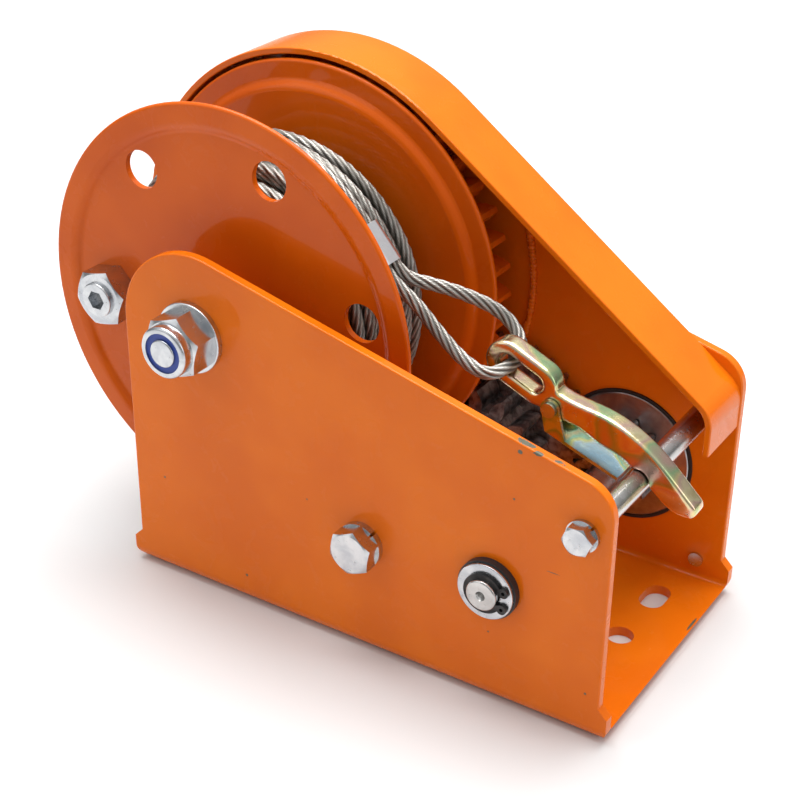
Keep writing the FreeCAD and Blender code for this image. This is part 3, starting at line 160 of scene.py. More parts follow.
class Shader:
    """Builds one material's node tree."""

    def __init__(self, name: str) -> None:
        """Makes an empty material.

        Args:
            name: The material's name.
        """
        self.material = bpy.data.materials.new(name)
        self.material.use_nodes = True
        self.tree = self.material.node_tree
        self.tree.nodes.clear()
        self.output = self.tree.nodes.new("ShaderNodeOutputMaterial")

    def node(self, kind: str, settings: Optional[Dict[str, Any]] = None,
             inputs: Optional[Dict[Any, Any]] = None, out: Union[int, str] = 0) -> Value:
        """Adds any node.

        Args:
            kind: The node's type.
            settings: Attributes set first, such as an operation or a ramp's stops.
            inputs: Values or links of its sockets, by number or name.
            out: Which output to return.

        Returns:
            The chosen output.
        """
        made = self.tree.nodes.new(kind)
        for key, value in (settings or {}).items():
            if key == "stops":
                self._stops(made.color_ramp, value)
            else:
                setattr(made, key, value)
        for key, value in (inputs or {}).items():
            self.feed(made.inputs[key], value)
        return Value(self, made.outputs[out])

    @staticmethod
    def _stops(ramp: Any, stops: Sequence[Tuple[float, Colour]]) -> None:
        """Fills a colour ramp.

        Args:
            ramp: The node's colour ramp.
            stops: Pairs of a place and a colour.
        """
        while len(ramp.elements) < len(stops):
            ramp.elements.new(1.0)
        for element, (place, colour) in zip(ramp.elements, stops):
            element.position = place
            element.color = (*colour, 1.0)

    def feed(self, socket: Any, value: Any) -> None:
        """Links or sets one input socket.

        Args:
            socket: The input.
            value: A Value to link, or a plain value to set.
        """
        if isinstance(value, Value):
            self.tree.links.new(value.socket, socket)
        elif isinstance(value, tuple) and len(value) == 3 and socket.type == "RGBA":
            socket.default_value = (*value, 1.0)
        else:
            socket.default_value = value

    def place(self) -> Value:
        """Object coordinates."""
        return self.node("ShaderNodeTexCoord", out="Object")

    def axes(self) -> Tuple[Value, Value, Value]:
        """Object coordinates as three numbers."""
        split = self.node("ShaderNodeSeparateXYZ", inputs={0: self.place()})
        outs = split.socket.node.outputs
        return Value(self, outs[0]), Value(self, outs[1]), Value(self, outs[2])

    def noise(self, size: float, detail: float = 2.0, rough: float = 0.5,
              distort: float = 0.0) -> Value:
        """Soft noise.

        Args:
            size: Size of its patches, metres.
            detail: Octaves.
            rough: How strong the fine octaves are.
            distort: How much it is warped.

        Returns:
            A value about 0.5.
        """
        return self.node("ShaderNodeTexNoise", inputs={
            "Vector": self.place(), "Scale": 1.0 / size, "Detail": detail,
            "Roughness": rough, "Distortion": distort})

    def mix(self, share: Number, first: Union[Value, Colour],
            second: Union[Value, Colour]) -> Value:
        """Blend of two colours.

        Args:
            share: How much of the second.
            first: First colour.
            second: Second colour.

        Returns:
            The blended colour.
        """
        made = self.tree.nodes.new("ShaderNodeMix")
        made.data_type = "RGBA"
        sockets = [s for s in made.inputs if s.type == "RGBA"]
        self.feed(made.inputs[0], share)
        self.feed(sockets[0], first)
        self.feed(sockets[1], second)
        return Value(self, [s for s in made.outputs if s.type == "RGBA"][0])

    def colours(self, value: Value, stops: Sequence[Tuple[float, Colour]]) -> Value:
        """Colour ramp.

        Args:
            value: Where on the ramp.
            stops: Its stops.

        Returns:
            The colour.
        """
        return self.node("ShaderNodeValToRGB", {"stops": stops}, {0: value})

    def bump(self, height: Value, depth: float, strength: float) -> Value:
        """Bumped normal.

        Args:
            height: Height from 0 to 1.
            depth: Real depth of 1, metres.
            strength: Strength of the effect.

        Returns:
            The normal.
        """
        return self.node("ShaderNodeBump", inputs={
            "Strength": strength, "Distance": depth, "Height": height})

    def finish(self, **sockets: Any) -> bpy.types.Material:
        """Adds the surface shader.

        Args:
            sockets: Its inputs by name, with underscores for spaces.

        Returns:
            The finished material.
        """
        surface = self.tree.nodes.new("ShaderNodeBsdfPrincipled")
        for key, value in sockets.items():
            self.feed(surface.inputs[key.replace("_", " ")], value)
        self.tree.links.new(surface.outputs[0], self.output.inputs["Surface"])
        return self.material


# --------------------------------------------------------------------------- finishes
@dataclass(frozen=True)
class Chip:
    """A place where the coat has come off: its middle and half sizes in millimetres."""

    middle: Point
    half: Point


@dataclass(frozen=True)
class PowderCoat:
    """Glossy orange powder coat with a faint orange peel, rub marks and chips."""

    name: str
    colour: Colour = (0.77, 0.160, 0.004)
    deep: Colour = (0.71, 0.133, 0.003)
    bare: Colour = (0.055, 0.060, 0.040)
    scraped: Colour = (0.17, 0.17, 0.13)
    dusty: Colour = (0.83, 0.50, 0.30)
    chips: Tuple[Chip, ...] = ()
    ragged: float = 2.2             # how far noise eats into a chip's outline
    rough: float = 0.25
    gloss: float = 0.30             # weight of the clear layer
    peel_depth: float = 0.05 * MM

    def chipped(self, s: Shader) -> Optional[Value]:
        """Mask of the chips, or None where there are none.

        Args:
            s: The material being built.

        Returns:
            1 on bare metal, 0 on paint.
        """
        ragged = s.noise(1.6 * MM, 3.0, 0.65)
        x, y, z = s.axes()
        mask: Optional[Value] = None
        for chip in self.chips:
            total: Optional[Value] = None
            for axis, middle, half in zip((x, y, z), chip.middle, chip.half):
                part = ((axis - middle * MM) / (half * MM)) ** 2.0
                total = part if total is None else total + part
            inside = (total + (ragged - 0.5) * self.ragged).ramp(1.0, 0.82)
            mask = inside if mask is None else mask.maximum(inside)
        return mask

    def build(self) -> bpy.types.Material:
        """Builds the material."""
        s = Shader(self.name)
        broad = s.noise(38 * MM, 2.0)
        peel = s.noise(1.5 * MM, 1.0)
        fine = s.noise(0.45 * MM, 1.0)
        dust = s.noise(2.3 * MM, 4.0, 0.75).ramp(0.66, 0.78)
        rub = s.noise(14 * MM, 5.0, 0.6, distort=0.6).ramp(0.50, 0.74)
        colour = s.mix(broad.ramp(0.3, 0.7), self.colour, self.deep)
        colour = s.mix(dust * 0.10, colour, self.dusty)
        rough = rub * 0.12 + dust * 0.10 + self.rough
        height = peel * 0.8 + fine * 0.15
        metal: Number = 0.0
        worn = self.chipped(s)
        if worn is not None:
            scrape = s.noise(0.7 * MM, 3.0)
            bare = s.mix(scrape, self.bare, self.scraped)
            colour = s.mix(worn, colour, bare)
            rough = rough + worn * 0.22
            height = height - worn * 3.0
            metal = worn * 0.25
        return s.finish(Base_Color=colour, Roughness=rough, Metallic=metal,
                        Coat_Weight=self.gloss, Coat_Roughness=0.05, Specular_IOR_Level=0.08,
                        Normal=s.bump(height, self.peel_depth, 0.55))


@dataclass(frozen=True)
class Plated:
    """Plated or turned metal with clouds, fine grit, tool marks and a little grime.

    turned is the distance between the rings that a lathe leaves, or 0 where there are none.
    """

    name: str
    light: Colour
    dark: Colour
    rough: float = 0.24
    clouds: float = 7 * MM
    turned: float = 0.0
    metal: float = 1.0
    depth: float = 0.02 * MM
    grime: Colour = (0.16, 0.13, 0.10)

    def build(self) -> bpy.types.Material:
        """Builds the material."""
        s = Shader(self.name)
        cloud = s.noise(self.clouds, 4.0, 0.6, distort=0.4)
        grit = s.noise(0.55 * MM, 3.0, 0.6)
        grime = s.noise(3.2 * MM, 5.0, 0.7).ramp(0.58, 0.75)
        colour = s.mix(cloud.ramp(0.32, 0.68), self.light, self.dark)
        colour = s.mix(grime * 0.35, colour, self.grime)
        rough = cloud * 0.16 + grime * 0.18 + (self.rough - 0.08)
        height = grit * 0.8
        if self.turned > 0:
            along = s.axes()[1]
            height = height + (along * (2 * math.pi / self.turned)).sine() * 0.5
        return s.finish(Base_Color=colour, Roughness=rough, Metallic=self.metal,
                        Normal=s.bump(height, self.depth, 0.6))


@dataclass(frozen=True)
class Iridescent:
    """Passivated zinc whose colour drifts through a few tints."""

    name: str
    tints: Tuple[Tuple[float, Colour], ...]
    patch: float = 17 * MM
    rough: float = 0.20
    stain: Colour = (0.20, 0.13, 0.07)
    forge_depth: float = 0.08 * MM

    def build(self) -> bpy.types.Material:
        """Builds the material."""
        s = Shader(self.name)
        drift = s.noise(self.patch, 1.5, 0.4, distort=0.5)
        blotch = s.noise(self.patch * 0.35, 2.0)
        forge = s.noise(2.6 * MM, 3.0, 0.6)
        grit = s.noise(0.5 * MM, 2.0)
        where = (drift * 0.88 + blotch * 0.12).ramp(0.28, 0.72)
        colour = s.colours(where, self.tints)
        stain = s.noise(4.0 * MM, 5.0, 0.7).ramp(0.60, 0.74)
        colour = s.mix(stain * 0.5, colour, self.stain)
        rough = forge * 0.14 + stain * 0.2 + (self.rough - 0.05)
        return s.finish(Base_Color=colour, Roughness=rough, Metallic=1.0,
                        Normal=s.bump(forge * 1.0 + grit * 0.25, self.forge_depth, 0.5))


@dataclass(frozen=True)
class Moulded:
    """Plastic, rubber or brake lining."""

    name: str
    colour: Colour
    fleck: Colour
    rough: float = 0.45
    grain: float = 0.8 * MM
    depth: float = 0.03 * MM
    flecked: float = 0.2

    def build(self) -> bpy.types.Material:
        """Builds the material."""
        s = Shader(self.name)
        grain = s.noise(self.grain, 3.0, 0.6)
        spots = s.noise(self.grain * 2.2, 4.0, 0.7).ramp(0.55, 0.72)
        colour = s.mix(spots * self.flecked, self.colour, self.fleck)
        rough = spots * 0.12 + self.rough
        return s.finish(Base_Color=colour, Roughness=rough, Metallic=0.0,
                        Normal=s.bump(grain, self.depth, 0.6))


@dataclass(frozen=True)
class WireRope:
    """Galvanised strands of fine wires, with painted shade where wires and strands meet."""

    name: str
    light: Colour = (0.50, 0.485, 0.45)
    dark: Colour = (0.30, 0.285, 0.26)
    shade_between_wires: Colour = (0.10, 0.09, 0.075)
    shade_between_strands: Colour = (0.045, 0.038, 0.03)
    grime: Colour = (0.15, 0.12, 0.09)
    wires: int = 26
    wire_depth: float = 0.10 * MM

    def build(self) -> bpy.types.Material:
        """Builds the material from the rope's own map: round it, and along it."""
        s = Shader(self.name)
        map_ = s.node("ShaderNodeUVMap", {"uv_map": "Lay"})
        split = s.node("ShaderNodeSeparateXYZ", inputs={0: map_})
        around = Value(s, split.socket.node.outputs[0])
        groove = s.node("ShaderNodeAttribute", {"attribute_name": "Groove"}, out="Fac")
        wire = (around * (math.pi * self.wires)).sine().absolute()
        cloud = s.noise(16 * MM, 4.0, 0.6)
        grime = s.noise(1.4 * MM, 4.0, 0.7).ramp(0.5, 0.75)
        colour = s.mix(cloud.ramp(0.3, 0.7), self.light, self.dark)
        # Painted shade in the creases between the wires, and darker painted shade in the grooves
        # between the strands.
        colour = s.mix(wire.ramp(0.55, 0.0) * 0.55, colour, self.shade_between_wires)
        colour = s.mix(groove * 0.85, colour, self.shade_between_strands)
        colour = s.mix(grime * 0.35, colour, self.grime)
        rough = grime * 0.15 + groove * 0.2 + 0.33
        return s.finish(Base_Color=colour, Roughness=rough, Metallic=0.9,
                        Normal=s.bump(wire, self.wire_depth, 0.75))


class Finish(Enum):
    """Every finish on the winch."""

    ORANGE = PowderCoat("orange_powder_coat")
    # The drum's copy of the orange coat is painted darker than the same coat on the frame: painted
    # shade for the drum, flanges and drum gear set back inside the frame.
    ORANGE_DRUM = PowderCoat("orange_powder_coat_drum_painted_shade", (0.66, 0.112, 0.003),
                             (0.58, 0.088, 0.002))
    ORANGE_FRAME = PowderCoat("orange_powder_coat_chipped", chips=(
        Chip((69.5, -54.2, 110.4), (5.0, 1.6, 1.5)), Chip((78.5, -54.2, 106.0), (4.2, 1.5, 1.4)),
        Chip((86.0, -54.6, 102.4), (3.2, 1.2, 1.2)), Chip((91.5, -54.4, 99.8), (2.2, 1.0, 1.0)),
        Chip((73.5, -55.4, 108.2), (2.0, 0.9, 0.9)), Chip((66.9, -56.0, 107.0), (0.9, 0.6, 0.9)),
        Chip((65.6, -56.0, 88.2), (0.45, 0.5, 0.45)), Chip((97.1, -56.0, 19.4), (0.5, 0.5, 0.5)),
        Chip((-49.5, -56.0, 12.7), (0.6, 0.5, 0.6)), Chip((-88.2, -56.0, 44.3), (0.5, 0.5, 0.5)),
        Chip((82.0, -56.0, 64.3), (2.6, 0.4, 0.14)), Chip((104.5, 21.0, 4.0), (0.5, 4.5, 0.6)),
        Chip((58.0, -56.0, 30.0), (0.4, 0.4, 0.35)), Chip((-20.0, -56.0, 58.0), (0.35, 0.4, 0.3)),
        Chip((90.0, -42.0, 4.0), (0.6, 0.5, 0.5))))
    ZINC = Plated("bright_zinc", (0.66, 0.67, 0.68), (0.47, 0.49, 0.52), 0.24)
    COVER_ZINC = Plated("cover_zinc", (0.46, 0.46, 0.47), (0.24, 0.235, 0.25), 0.36, 16 * MM)
    STEEL = Plated("turned_steel", (0.62, 0.61, 0.60), (0.45, 0.44, 0.43), 0.22, 11 * MM, 0.5 * MM)
    BLACK_OXIDE = Plated("black_oxide", (0.055, 0.052, 0.052), (0.025, 0.024, 0.025), 0.34,
                         5 * MM, metal=0.85)
    OILED = Plated("oiled_gear_steel", (0.50, 0.50, 0.50), (0.15, 0.15, 0.155), 0.34,
                   3.5 * MM, depth=0.05 * MM)
    BRONZE = Plated("sintered_bronze", (0.55, 0.36, 0.18), (0.40, 0.26, 0.13), 0.42)
    ALUMINIUM = Plated("pressed_aluminium", (0.93, 0.93, 0.95), (0.84, 0.84, 0.87), 0.30, 5 * MM)
    NYLON = Moulded("black_nylon", (0.018, 0.018, 0.020), (0.05, 0.05, 0.05), 0.42)
    BLUE = Moulded("blue_nylon", (0.012, 0.045, 0.30), (0.05, 0.10, 0.42), 0.35)
    RUBBER = Moulded("black_rubber", (0.012, 0.012, 0.012), (0.04, 0.035, 0.03), 0.6)
    LINING = Moulded("brake_lining", (0.10, 0.075, 0.06), (0.30, 0.22, 0.12), 0.85,
                     1.2 * MM, 0.12 * MM, 0.8)
    ROPE = WireRope("wire_rope")
    YELLOW = Iridescent("yellow_zinc", (
        (0.0, (0.62, 0.46, 0.20)), (0.28, (0.82, 0.72, 0.44)), (0.48, (0.74, 0.50, 0.40)),
        (0.64, (0.78, 0.66, 0.34)), (0.80, (0.42, 0.60, 0.32)), (1.0, (0.70, 0.46, 0.38))))
    LATCH = Iridescent("latch_zinc", (
        (0.0, (0.36, 0.56, 0.68)), (0.3, (0.52, 0.70, 0.72)), (0.55, (0.70, 0.74, 0.30)),
        (0.75, (0.30, 0.62, 0.46)), (1.0, (0.66, 0.50, 0.22))), 12 * MM)


NODE_FINISH: Dict[Finish, Tuple[str, ...]] = {
    Finish.ORANGE_FRAME: ("frame",),
    Finish.ORANGE: ("gear_guard",),
    # The drum parts take the darker copy of the coat, which carries painted shade.
    Finish.ORANGE_DRUM: ("drum_gear", "near_flange", "far_flange", "drum_barrel", "drum_hub"),
    Finish.ZINC: ("axle_bolt", "axle_nut", "axle_washer_near", "axle_washer_far",
                  "counter_bolt_near", "counter_bolt_far", "counter_lock_washer_near",
                  "counter_lock_washer_far", "tie_bolt_near", "tie_bolt_far", "tie_washer_near",
                  "tie_washer_far", "anchor_screw", "anchor_nut", "drive_washer", "plate_rivet",
                  "crank_nut", "crank_washer", "pawl_pin", "spring_stop", "latch_pin",
                  "crank_hub", "pressure_disc"),
    Finish.COVER_ZINC: ("cover_plate",),
    Finish.STEEL: ("tie_bar", "drive_shaft", "counter_axle", "counter_spacer", "axle_spacer_near",
                   "axle_spacer_far", "counter_thrust"),
    Finish.BLACK_OXIDE: ("drive_clip", "ratchet_wheel", "pawl", "pawl_spring"),
    Finish.OILED: ("counter_pinion", "counter_gear", "drive_pinion"),
    Finish.BRONZE: ("counter_bush", "far_bush"),
    Finish.NYLON: ("near_bush", "drum_bush_near", "drum_bush_far"),
    Finish.BLUE: ("axle_nut_ring",),
    Finish.RUBBER: ("cover_seal",),
    Finish.LINING: ("friction_disc_inner", "friction_disc_outer"),
    Finish.ALUMINIUM: ("ferrule",),
    Finish.YELLOW: ("hook",),
    Finish.LATCH: ("hook_latch",),
}


@dataclass
class Paintshop:
    """Makes each finish once and puts it on pieces."""

    made: Dict[Finish, bpy.types.Material]

    @classmethod
    def opened(cls) -> "Paintshop":
        """A paintshop with every finish built."""
        return cls({finish: finish.value.build() for finish in Finish})

    def coat(self, piece: bpy.types.Object, finish: Finish) -> None:
        """Puts one finish all over a piece.

        Args:
            piece: A mesh or curve object.
            finish: Which finish.
        """
        piece.data.materials.clear()
        piece.data.materials.append(self.made[finish])

    def coat_nodes(self, nodes: Dict[str, bpy.types.Object]) -> None:
        """Dresses every CAD node.

        Args:
            nodes: The frame's nodes by name.
        """
        for finish, names in NODE_FINISH.items():
            for name in names:
                self.coat(nodes[name], finish)


# --------------------------------------------------------------------------- mesh helpers
def new_piece(name: str, verts: Sequence[Any], faces: Sequence[Any],
              smooth: bool = True) -> bpy.types.Object:
    """Makes a mesh object at the origin.

    Args:
        name: The piece's name.
        verts: Its points.
        faces: Its faces, as lists of point numbers.
        smooth: True for smooth shading.

    Returns:
        The object.
    """
    mesh = bpy.data.meshes.new(name)
    mesh.from_pydata([tuple(v) for v in verts], [], [tuple(f) for f in faces])
    mesh.validate()
    for polygon in mesh.polygons:
        polygon.use_smooth = smooth
    piece = bpy.data.objects.new(name, mesh)
    bpy.context.scene.collection.objects.link(piece)
    return piece


def solid_mesh(piece: bpy.types.Object) -> bpy.types.Object:
    """Turns a piece with modifiers into a plain mesh.

    Args:
        piece: The object, whose modifiers are removed.

    Returns:
        The same object.
    """
    graph = bpy.context.evaluated_depsgraph_get()
    mesh = bpy.data.meshes.new_from_object(piece.evaluated_get(graph), depsgraph=graph)
    piece.modifiers.clear()
    piece.data = mesh
    return piece


def merged_copy(node: bpy.types.Object, name: str) -> bpy.types.Object:
    """A copy of a CAD node with points closer than 0.002 mm joined.

    Args:
        node: The CAD node.
        name: The copy's name.

    Returns:
        A new object at the origin.
    """
    mesh = node.data.copy()
    mesh.name = name
    work = bmesh.new()
    work.from_mesh(mesh)
    bmesh.ops.remove_doubles(work, verts=work.verts, dist=0.002 * MM)
    work.to_mesh(mesh)
    work.free()
    copy = bpy.data.objects.new(name, mesh)
    bpy.context.scene.collection.objects.link(copy)
    return copy


# --------------------------------------------------------------------------- wire rope
@dataclass
class Strands:
    """Section of the rope: six strands laid round a core, as one closed twisted shape."""

    diameter: float = ROPE_DIAMETER
    lay: float = ROPE_LAY
    lobes: int = 6
    points_per_lobe: int = 5
    least_radius: float = 0.36      # of the diameter, at the bottom of a groove
    groove_depth: float = 0.14      # of the diameter

    def section(self) -> Tuple[np.ndarray, np.ndarray, np.ndarray]:
        """Angles, radii and groove depth of the section's points."""
        count = self.lobes * self.points_per_lobe
        angle = np.arange(count) * 2 * math.pi / count
        half = math.pi / self.lobes
        off = (angle + half) % (2 * half) - half
        centre, strand = self.diameter / 3, self.diameter / 6
        inside = np.maximum(strand ** 2 - (centre * np.sin(off)) ** 2, 0.0)
        radius = np.maximum(centre * np.cos(off) + np.sqrt(inside),
                            self.least_radius * self.diameter)
        depth = self.groove_depth * self.diameter
        groove = np.clip((self.diameter / 2 - radius) / depth, 0, 1)
        return angle, radius, groove

    def tube(self, name: str, path: np.ndarray, normals: np.ndarray,
             start_turn: float) -> bpy.types.Object:
        """Sweeps the section along a path, turning it with the lay.

        Args:
            name: The piece's name.
            path: Points of the centreline.
            normals: A direction across the path at each point.
            start_turn: Turn of the section at the first point, radians.

        Returns:
            A closed mesh with its Lay map and Groove attribute.
        """
        steps = np.diff(path, axis=0)
        length = np.concatenate([[0], np.cumsum(np.linalg.norm(steps, axis=1))])
        tangent = np.gradient(path, axis=0)
        tangent /= np.linalg.norm(tangent, axis=1)[:, None]
        side = normals - (normals * tangent).sum(1)[:, None] * tangent
        side /= np.linalg.norm(side, axis=1)[:, None]
        other = np.cross(tangent, side)
        angle, radius, groove = self.section()
        turn = start_turn + length * 2 * math.pi / self.lay
        whole = angle[None, :] + turn[:, None]
        outward = (np.cos(whole)[..., None] * side[:, None, :]
                   + np.sin(whole)[..., None] * other[:, None, :])
        rings = path[:, None, :] + radius[None, :, None] * outward
        rows, cols = whole.shape
        verts = np.concatenate([rings.reshape(-1, 3), path[:1], path[-1:]])
        faces: List[Tuple[int, ...]] = []
        for i in range(rows - 1):
            a, b = i * cols, (i + 1) * cols
            faces += [(a + k, a + (k + 1) % cols, b + (k + 1) % cols, b + k) for k in range(cols)]
        low, high, last = rows * cols, rows * cols + 1, (rows - 1) * cols
        faces += [(low, (k + 1) % cols, k) for k in range(cols)]
        faces += [(high, last + k, last + (k + 1) % cols) for k in range(cols)]
        piece = new_piece(name, verts, faces)
        self._map(piece.data, whole, length, rows, cols)
        dark = piece.data.attributes.new("Groove", "FLOAT", "POINT")
        values = np.concatenate([np.tile(groove, rows), [1.0, 1.0]])
        dark.data.foreach_set("value", values.astype(np.float32))
        return piece

    @staticmethod
    def _map(mesh: bpy.types.Mesh, whole: np.ndarray, length: np.ndarray,
             rows: int, cols: int) -> None:
        """Writes the Lay map: share of a turn round the rope, and metres along it.

        Args:
            mesh: The swept mesh.
            whole: Angle of each point round the rope.
            length: Distance of each ring along it.
            rows: Rings.
            cols: Points in a ring.
        """
        turns = whole / (2 * math.pi)
        wide = np.concatenate([turns, turns[:, :1] + 1.0], axis=1)
        uv = mesh.uv_layers.new(name="Lay")
        values = np.zeros((len(mesh.loops), 2), np.float32)
        k = np.arange(cols)
        grid = np.zeros((rows - 1, cols, 4, 2), np.float32)
        for corner, (di, dk) in enumerate(((0, 0), (0, 1), (1, 1), (1, 0))):
            grid[:, :, corner, 0] = wide[di:rows - 1 + di][:, k + dk]
            grid[:, :, corner, 1] = length[di:rows - 1 + di][:, None]
        values[:grid.size // 2] = grid.reshape(-1, 2)
        uv.data.foreach_set("uv", values.ravel())


def spline_line(name: str, points: np.ndarray, fineness: int) -> np.ndarray:
    """Line of a NURBS spline through control points.

    Args:
        name: Name of the curve.
        points: Control points in metres.
        fineness: Points made from each control point.

    Returns:
        Points along the smooth line.
    """
    curve = bpy.data.curves.new(name, "CURVE")
    curve.dimensions = "3D"
    spline = curve.splines.new("NURBS")
    spline.points.add(len(points) - 1)
    for spot, p in zip(spline.points, points):
        spot.co = (*[float(c) for c in p], 1.0)
    spline.order_u = 3
    spline.use_endpoint_u = True
    spline.resolution_u = fineness
    holder = bpy.data.objects.new(name, curve)
    bpy.context.scene.collection.objects.link(holder)
    graph = bpy.context.evaluated_depsgraph_get()
    mesh = bpy.data.meshes.new_from_object(holder.evaluated_get(graph), depsgraph=graph)
    line = np.array([v.co for v in mesh.vertices], float)
    bpy.data.objects.remove(holder)
    bpy.data.meshes.remove(mesh)
    return line


def evenly(line: np.ndarray, step: float) -> np.ndarray:
    """The same line with points a fixed step apart.

    Args:
        line: Points along a line.
        step: Wanted distance between them, metres.

    Returns:
        New points along it, its ends kept.
    """
    run = np.concatenate([[0], np.cumsum(np.linalg.norm(np.diff(line, axis=0), axis=1))])
    count = max(4, int(round(run[-1] / step)) + 1)
    wanted = np.linspace(0, run[-1], count)
    return np.stack([np.interp(wanted, run, line[:, k]) for k in range(3)], axis=1)


def carried(path: np.ndarray, first: np.ndarray) -> np.ndarray:
    """Directions across a path that turn with it and never about it.

    Args:
        path: Points of the path.
        first: Direction at its first point.

    Returns:
        One direction for each point.
    """
    tangent = np.gradient(path, axis=0)
    tangent /= np.linalg.norm(tangent, axis=1)[:, None]
    out = [first - first.dot(tangent[0]) * tangent[0]]
    for t in tangent[1:]:
        v = out[-1] - out[-1].dot(t) * t
        out.append(v / np.linalg.norm(v))
    out[0] = out[0] / np.linalg.norm(out[0])
    return np.array(out)


@dataclass
class WoundRope:
    """The rope on the drum: neat layers low down, loose crossing turns on top.

    Sizes are in millimetres; places along the axle are y.  The envelope gives the outside
    radius of the coil at places along the axle, and no turn stands out of it.
    """

    first_radius: float = 34.95
    layer_pitch: float = 5.12
    side_pitch: float = 5.3
    near_side: float = -30.2
    far_sides: Tuple[float, ...] = (18.4, 17.0, 14.6, 12.4, 9.6)
    near_step: float = 1.2          # how far each layer above the third draws in
    loose_turns: Tuple[Tuple[float, float], ...] = (
        (-24.5, -9.0), (-3.0, -22.0), (-23.0, 1.5), (6.5, -6.0), (-3.5, -12.0))
    loose_rise: float = 0.35        # from one loose turn to the next
    crossing: float = 25.5          # square of the distance kept between crossing turns
    bedding: float = 0.8            # share of that distance after the turns bed in
    half_share: float = 0.52        # of the diameter, kept inside the envelope
    smoothed: int = 7               # points that each place is averaged over
    points_per_turn: int = 24
    climb_points: int = 5
    seed: int = 7
    step: float = 4.2               # between the points of the finished line
    envelope: Tuple[Tuple[float, float], ...] = (
        (-32.6, 57.0), (-20.0, 61.0), (-8.0, 63.3), (0.0, 63.3),
        (8.0, 61.0), (13.0, 54.0), (17.0, 42.0), (20.0, 35.0))

    def layers(self) -> List[Tuple[float, float, float]]:
        """Radius and both sides of each neat layer, in millimetres."""
        out = []
        for k, far in enumerate(self.far_sides):
            near = self.near_side + max(0, k - 2) * self.near_step
            ends = (near, far) if k % 2 == 0 else (far, near)
            out.append((self.first_radius + k * self.layer_pitch, *ends))
        return out

    def route(self) -> np.ndarray:
        """Control points from the drum's barrel to the place where the rope leaves the coil."""
        random = np.random.default_rng(self.seed)
        radii: List[float] = []
        sides: List[float] = []
        angles: List[float] = []
        angle = 0.0
        step = 2 * math.pi / self.points_per_turn
        for k, (radius, start, end) in enumerate(self.layers()):
            turns = max(1, int(round(abs(end - start) / self.side_pitch)))
            count = turns * self.points_per_turn
            wander = 0.5 if k < 3 else 1.1
            phase = random.uniform(0, 2 * math.pi)
            for i in range(count):
                share = i / count
                side = start + (end - start) * share + wander * math.sin(angle * 0.8 + phase)
                radii.append(radius)
                sides.append(side)
                angles.append(angle)
                angle += step
        base = self.first_radius + len(self.far_sides) * self.layer_pitch
        for j, (start, end) in enumerate(self.loose_turns):
            for i in range(self.points_per_turn):
                share = i / self.points_per_turn
                ease = share * share * (3 - 2 * share)
                radii.append(base + self.loose_rise * j)
                sides.append(start + (end - start) * ease)
                angles.append(angle)
                angle += step
        return self._finished(np.array(radii), np.array(sides), np.array(angles))

    def _finished(self, radii: np.ndarray, sides: np.ndarray, angles: np.ndarray) -> np.ndarray:
        """Smooths the turns, turns them to meet the free end and settles the loose ones.

        Args:
            radii: Distance from the drum's axis, millimetres.
            sides: Place along the axis, millimetres.
            angles: Angle round it, radians.

        Returns:
            Control points in metres.
        """
        soft = np.ones(self.smoothed) / self.smoothed
        for values in (radii, sides):
            padded = np.pad(values, self.smoothed // 2, mode="edge")
            values[:] = np.convolve(padded, soft, mode="valid")
        goal_x, goal_y, goal_z = (c / MM for c in LEAD_ROUTE[0])
        dx, dz = goal_x - DRUM_AXIS[0] / MM, goal_z - DRUM_AXIS[1] / MM
        goal_angle, goal_radius = math.atan2(dz, dx), math.hypot(dx, dz)
        turn = goal_angle + angles[-1] - angles
        n = self.climb_points
        rise = (np.arange(1, n + 1) / n) ** 1.5
        outer_y, outer_r = np.array(self.envelope).T
        most = np.interp(sides, outer_y, outer_r) - self.half_share * ROPE_DIAMETER / MM
        radii = np.minimum(self._settled(radii, sides, turn), most)
        radii[-n:] += (goal_radius - radii[-1]) * rise
        sides[-n:] += (goal_y - sides[-1]) * rise
        x = DRUM_AXIS[0] + radii * MM * np.cos(turn)
        z = DRUM_AXIS[1] + radii * MM * np.sin(turn)
        return np.stack([x, sides * MM, z], axis=1)

    def _settled(self, radii: np.ndarray, sides: np.ndarray, turn: np.ndarray) -> np.ndarray:
        """Lifts each loose turn over the ones that it crosses.

        Args:
            radii: Distances from the axis.
            sides: Places along it.
            turn: Angles round it; not used.

        Returns:
            The lifted distances.
        """
        out = radii.copy()
        n = self.points_per_turn
        loose = len(radii) - len(self.loose_turns) * n
        diameter = ROPE_DIAMETER / MM
        for i in range(loose, len(radii)):
            for back in range(1, (i - loose) // n + 2):
                j = i - back * n
                if j < 0:
                    break
                gap = abs(sides[i] - sides[j])
                if gap < diameter:
                    lift = math.sqrt(self.crossing - gap * gap) * self.bedding
                    out[i] = max(out[i], out[j] + lift)
        padded = np.pad(out, 2, mode="edge")
        return np.convolve(padded, np.array([0.1, 0.2, 0.4, 0.2, 0.1]), mode="valid")

    def build(self, shop: Paintshop) -> bpy.types.Object:
        """Builds the wound rope.

        Args:
            shop: The finishes.

        Returns:
            The piece.
        """
        line = spline_line("wound_route", self.route(), 3)
        fine = evenly(line, self.step * MM)
        axis = np.array([DRUM_AXIS[0], 0.0, DRUM_AXIS[1]])
        outward = fine - axis
        outward[:, 1] = 0.0
        strands = Strands(points_per_lobe=4)
        total = np.linalg.norm(np.diff(fine, axis=0), axis=1).sum()
        piece = strands.tube("wound_rope", fine, outward, -total * 2 * math.pi / ROPE_LAY)
        shop.coat(piece, Finish.ROPE)
        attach(piece, "drum")
        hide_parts("rope_coil")
        LOG.info("wound rope %.2f m", total)
        return piece


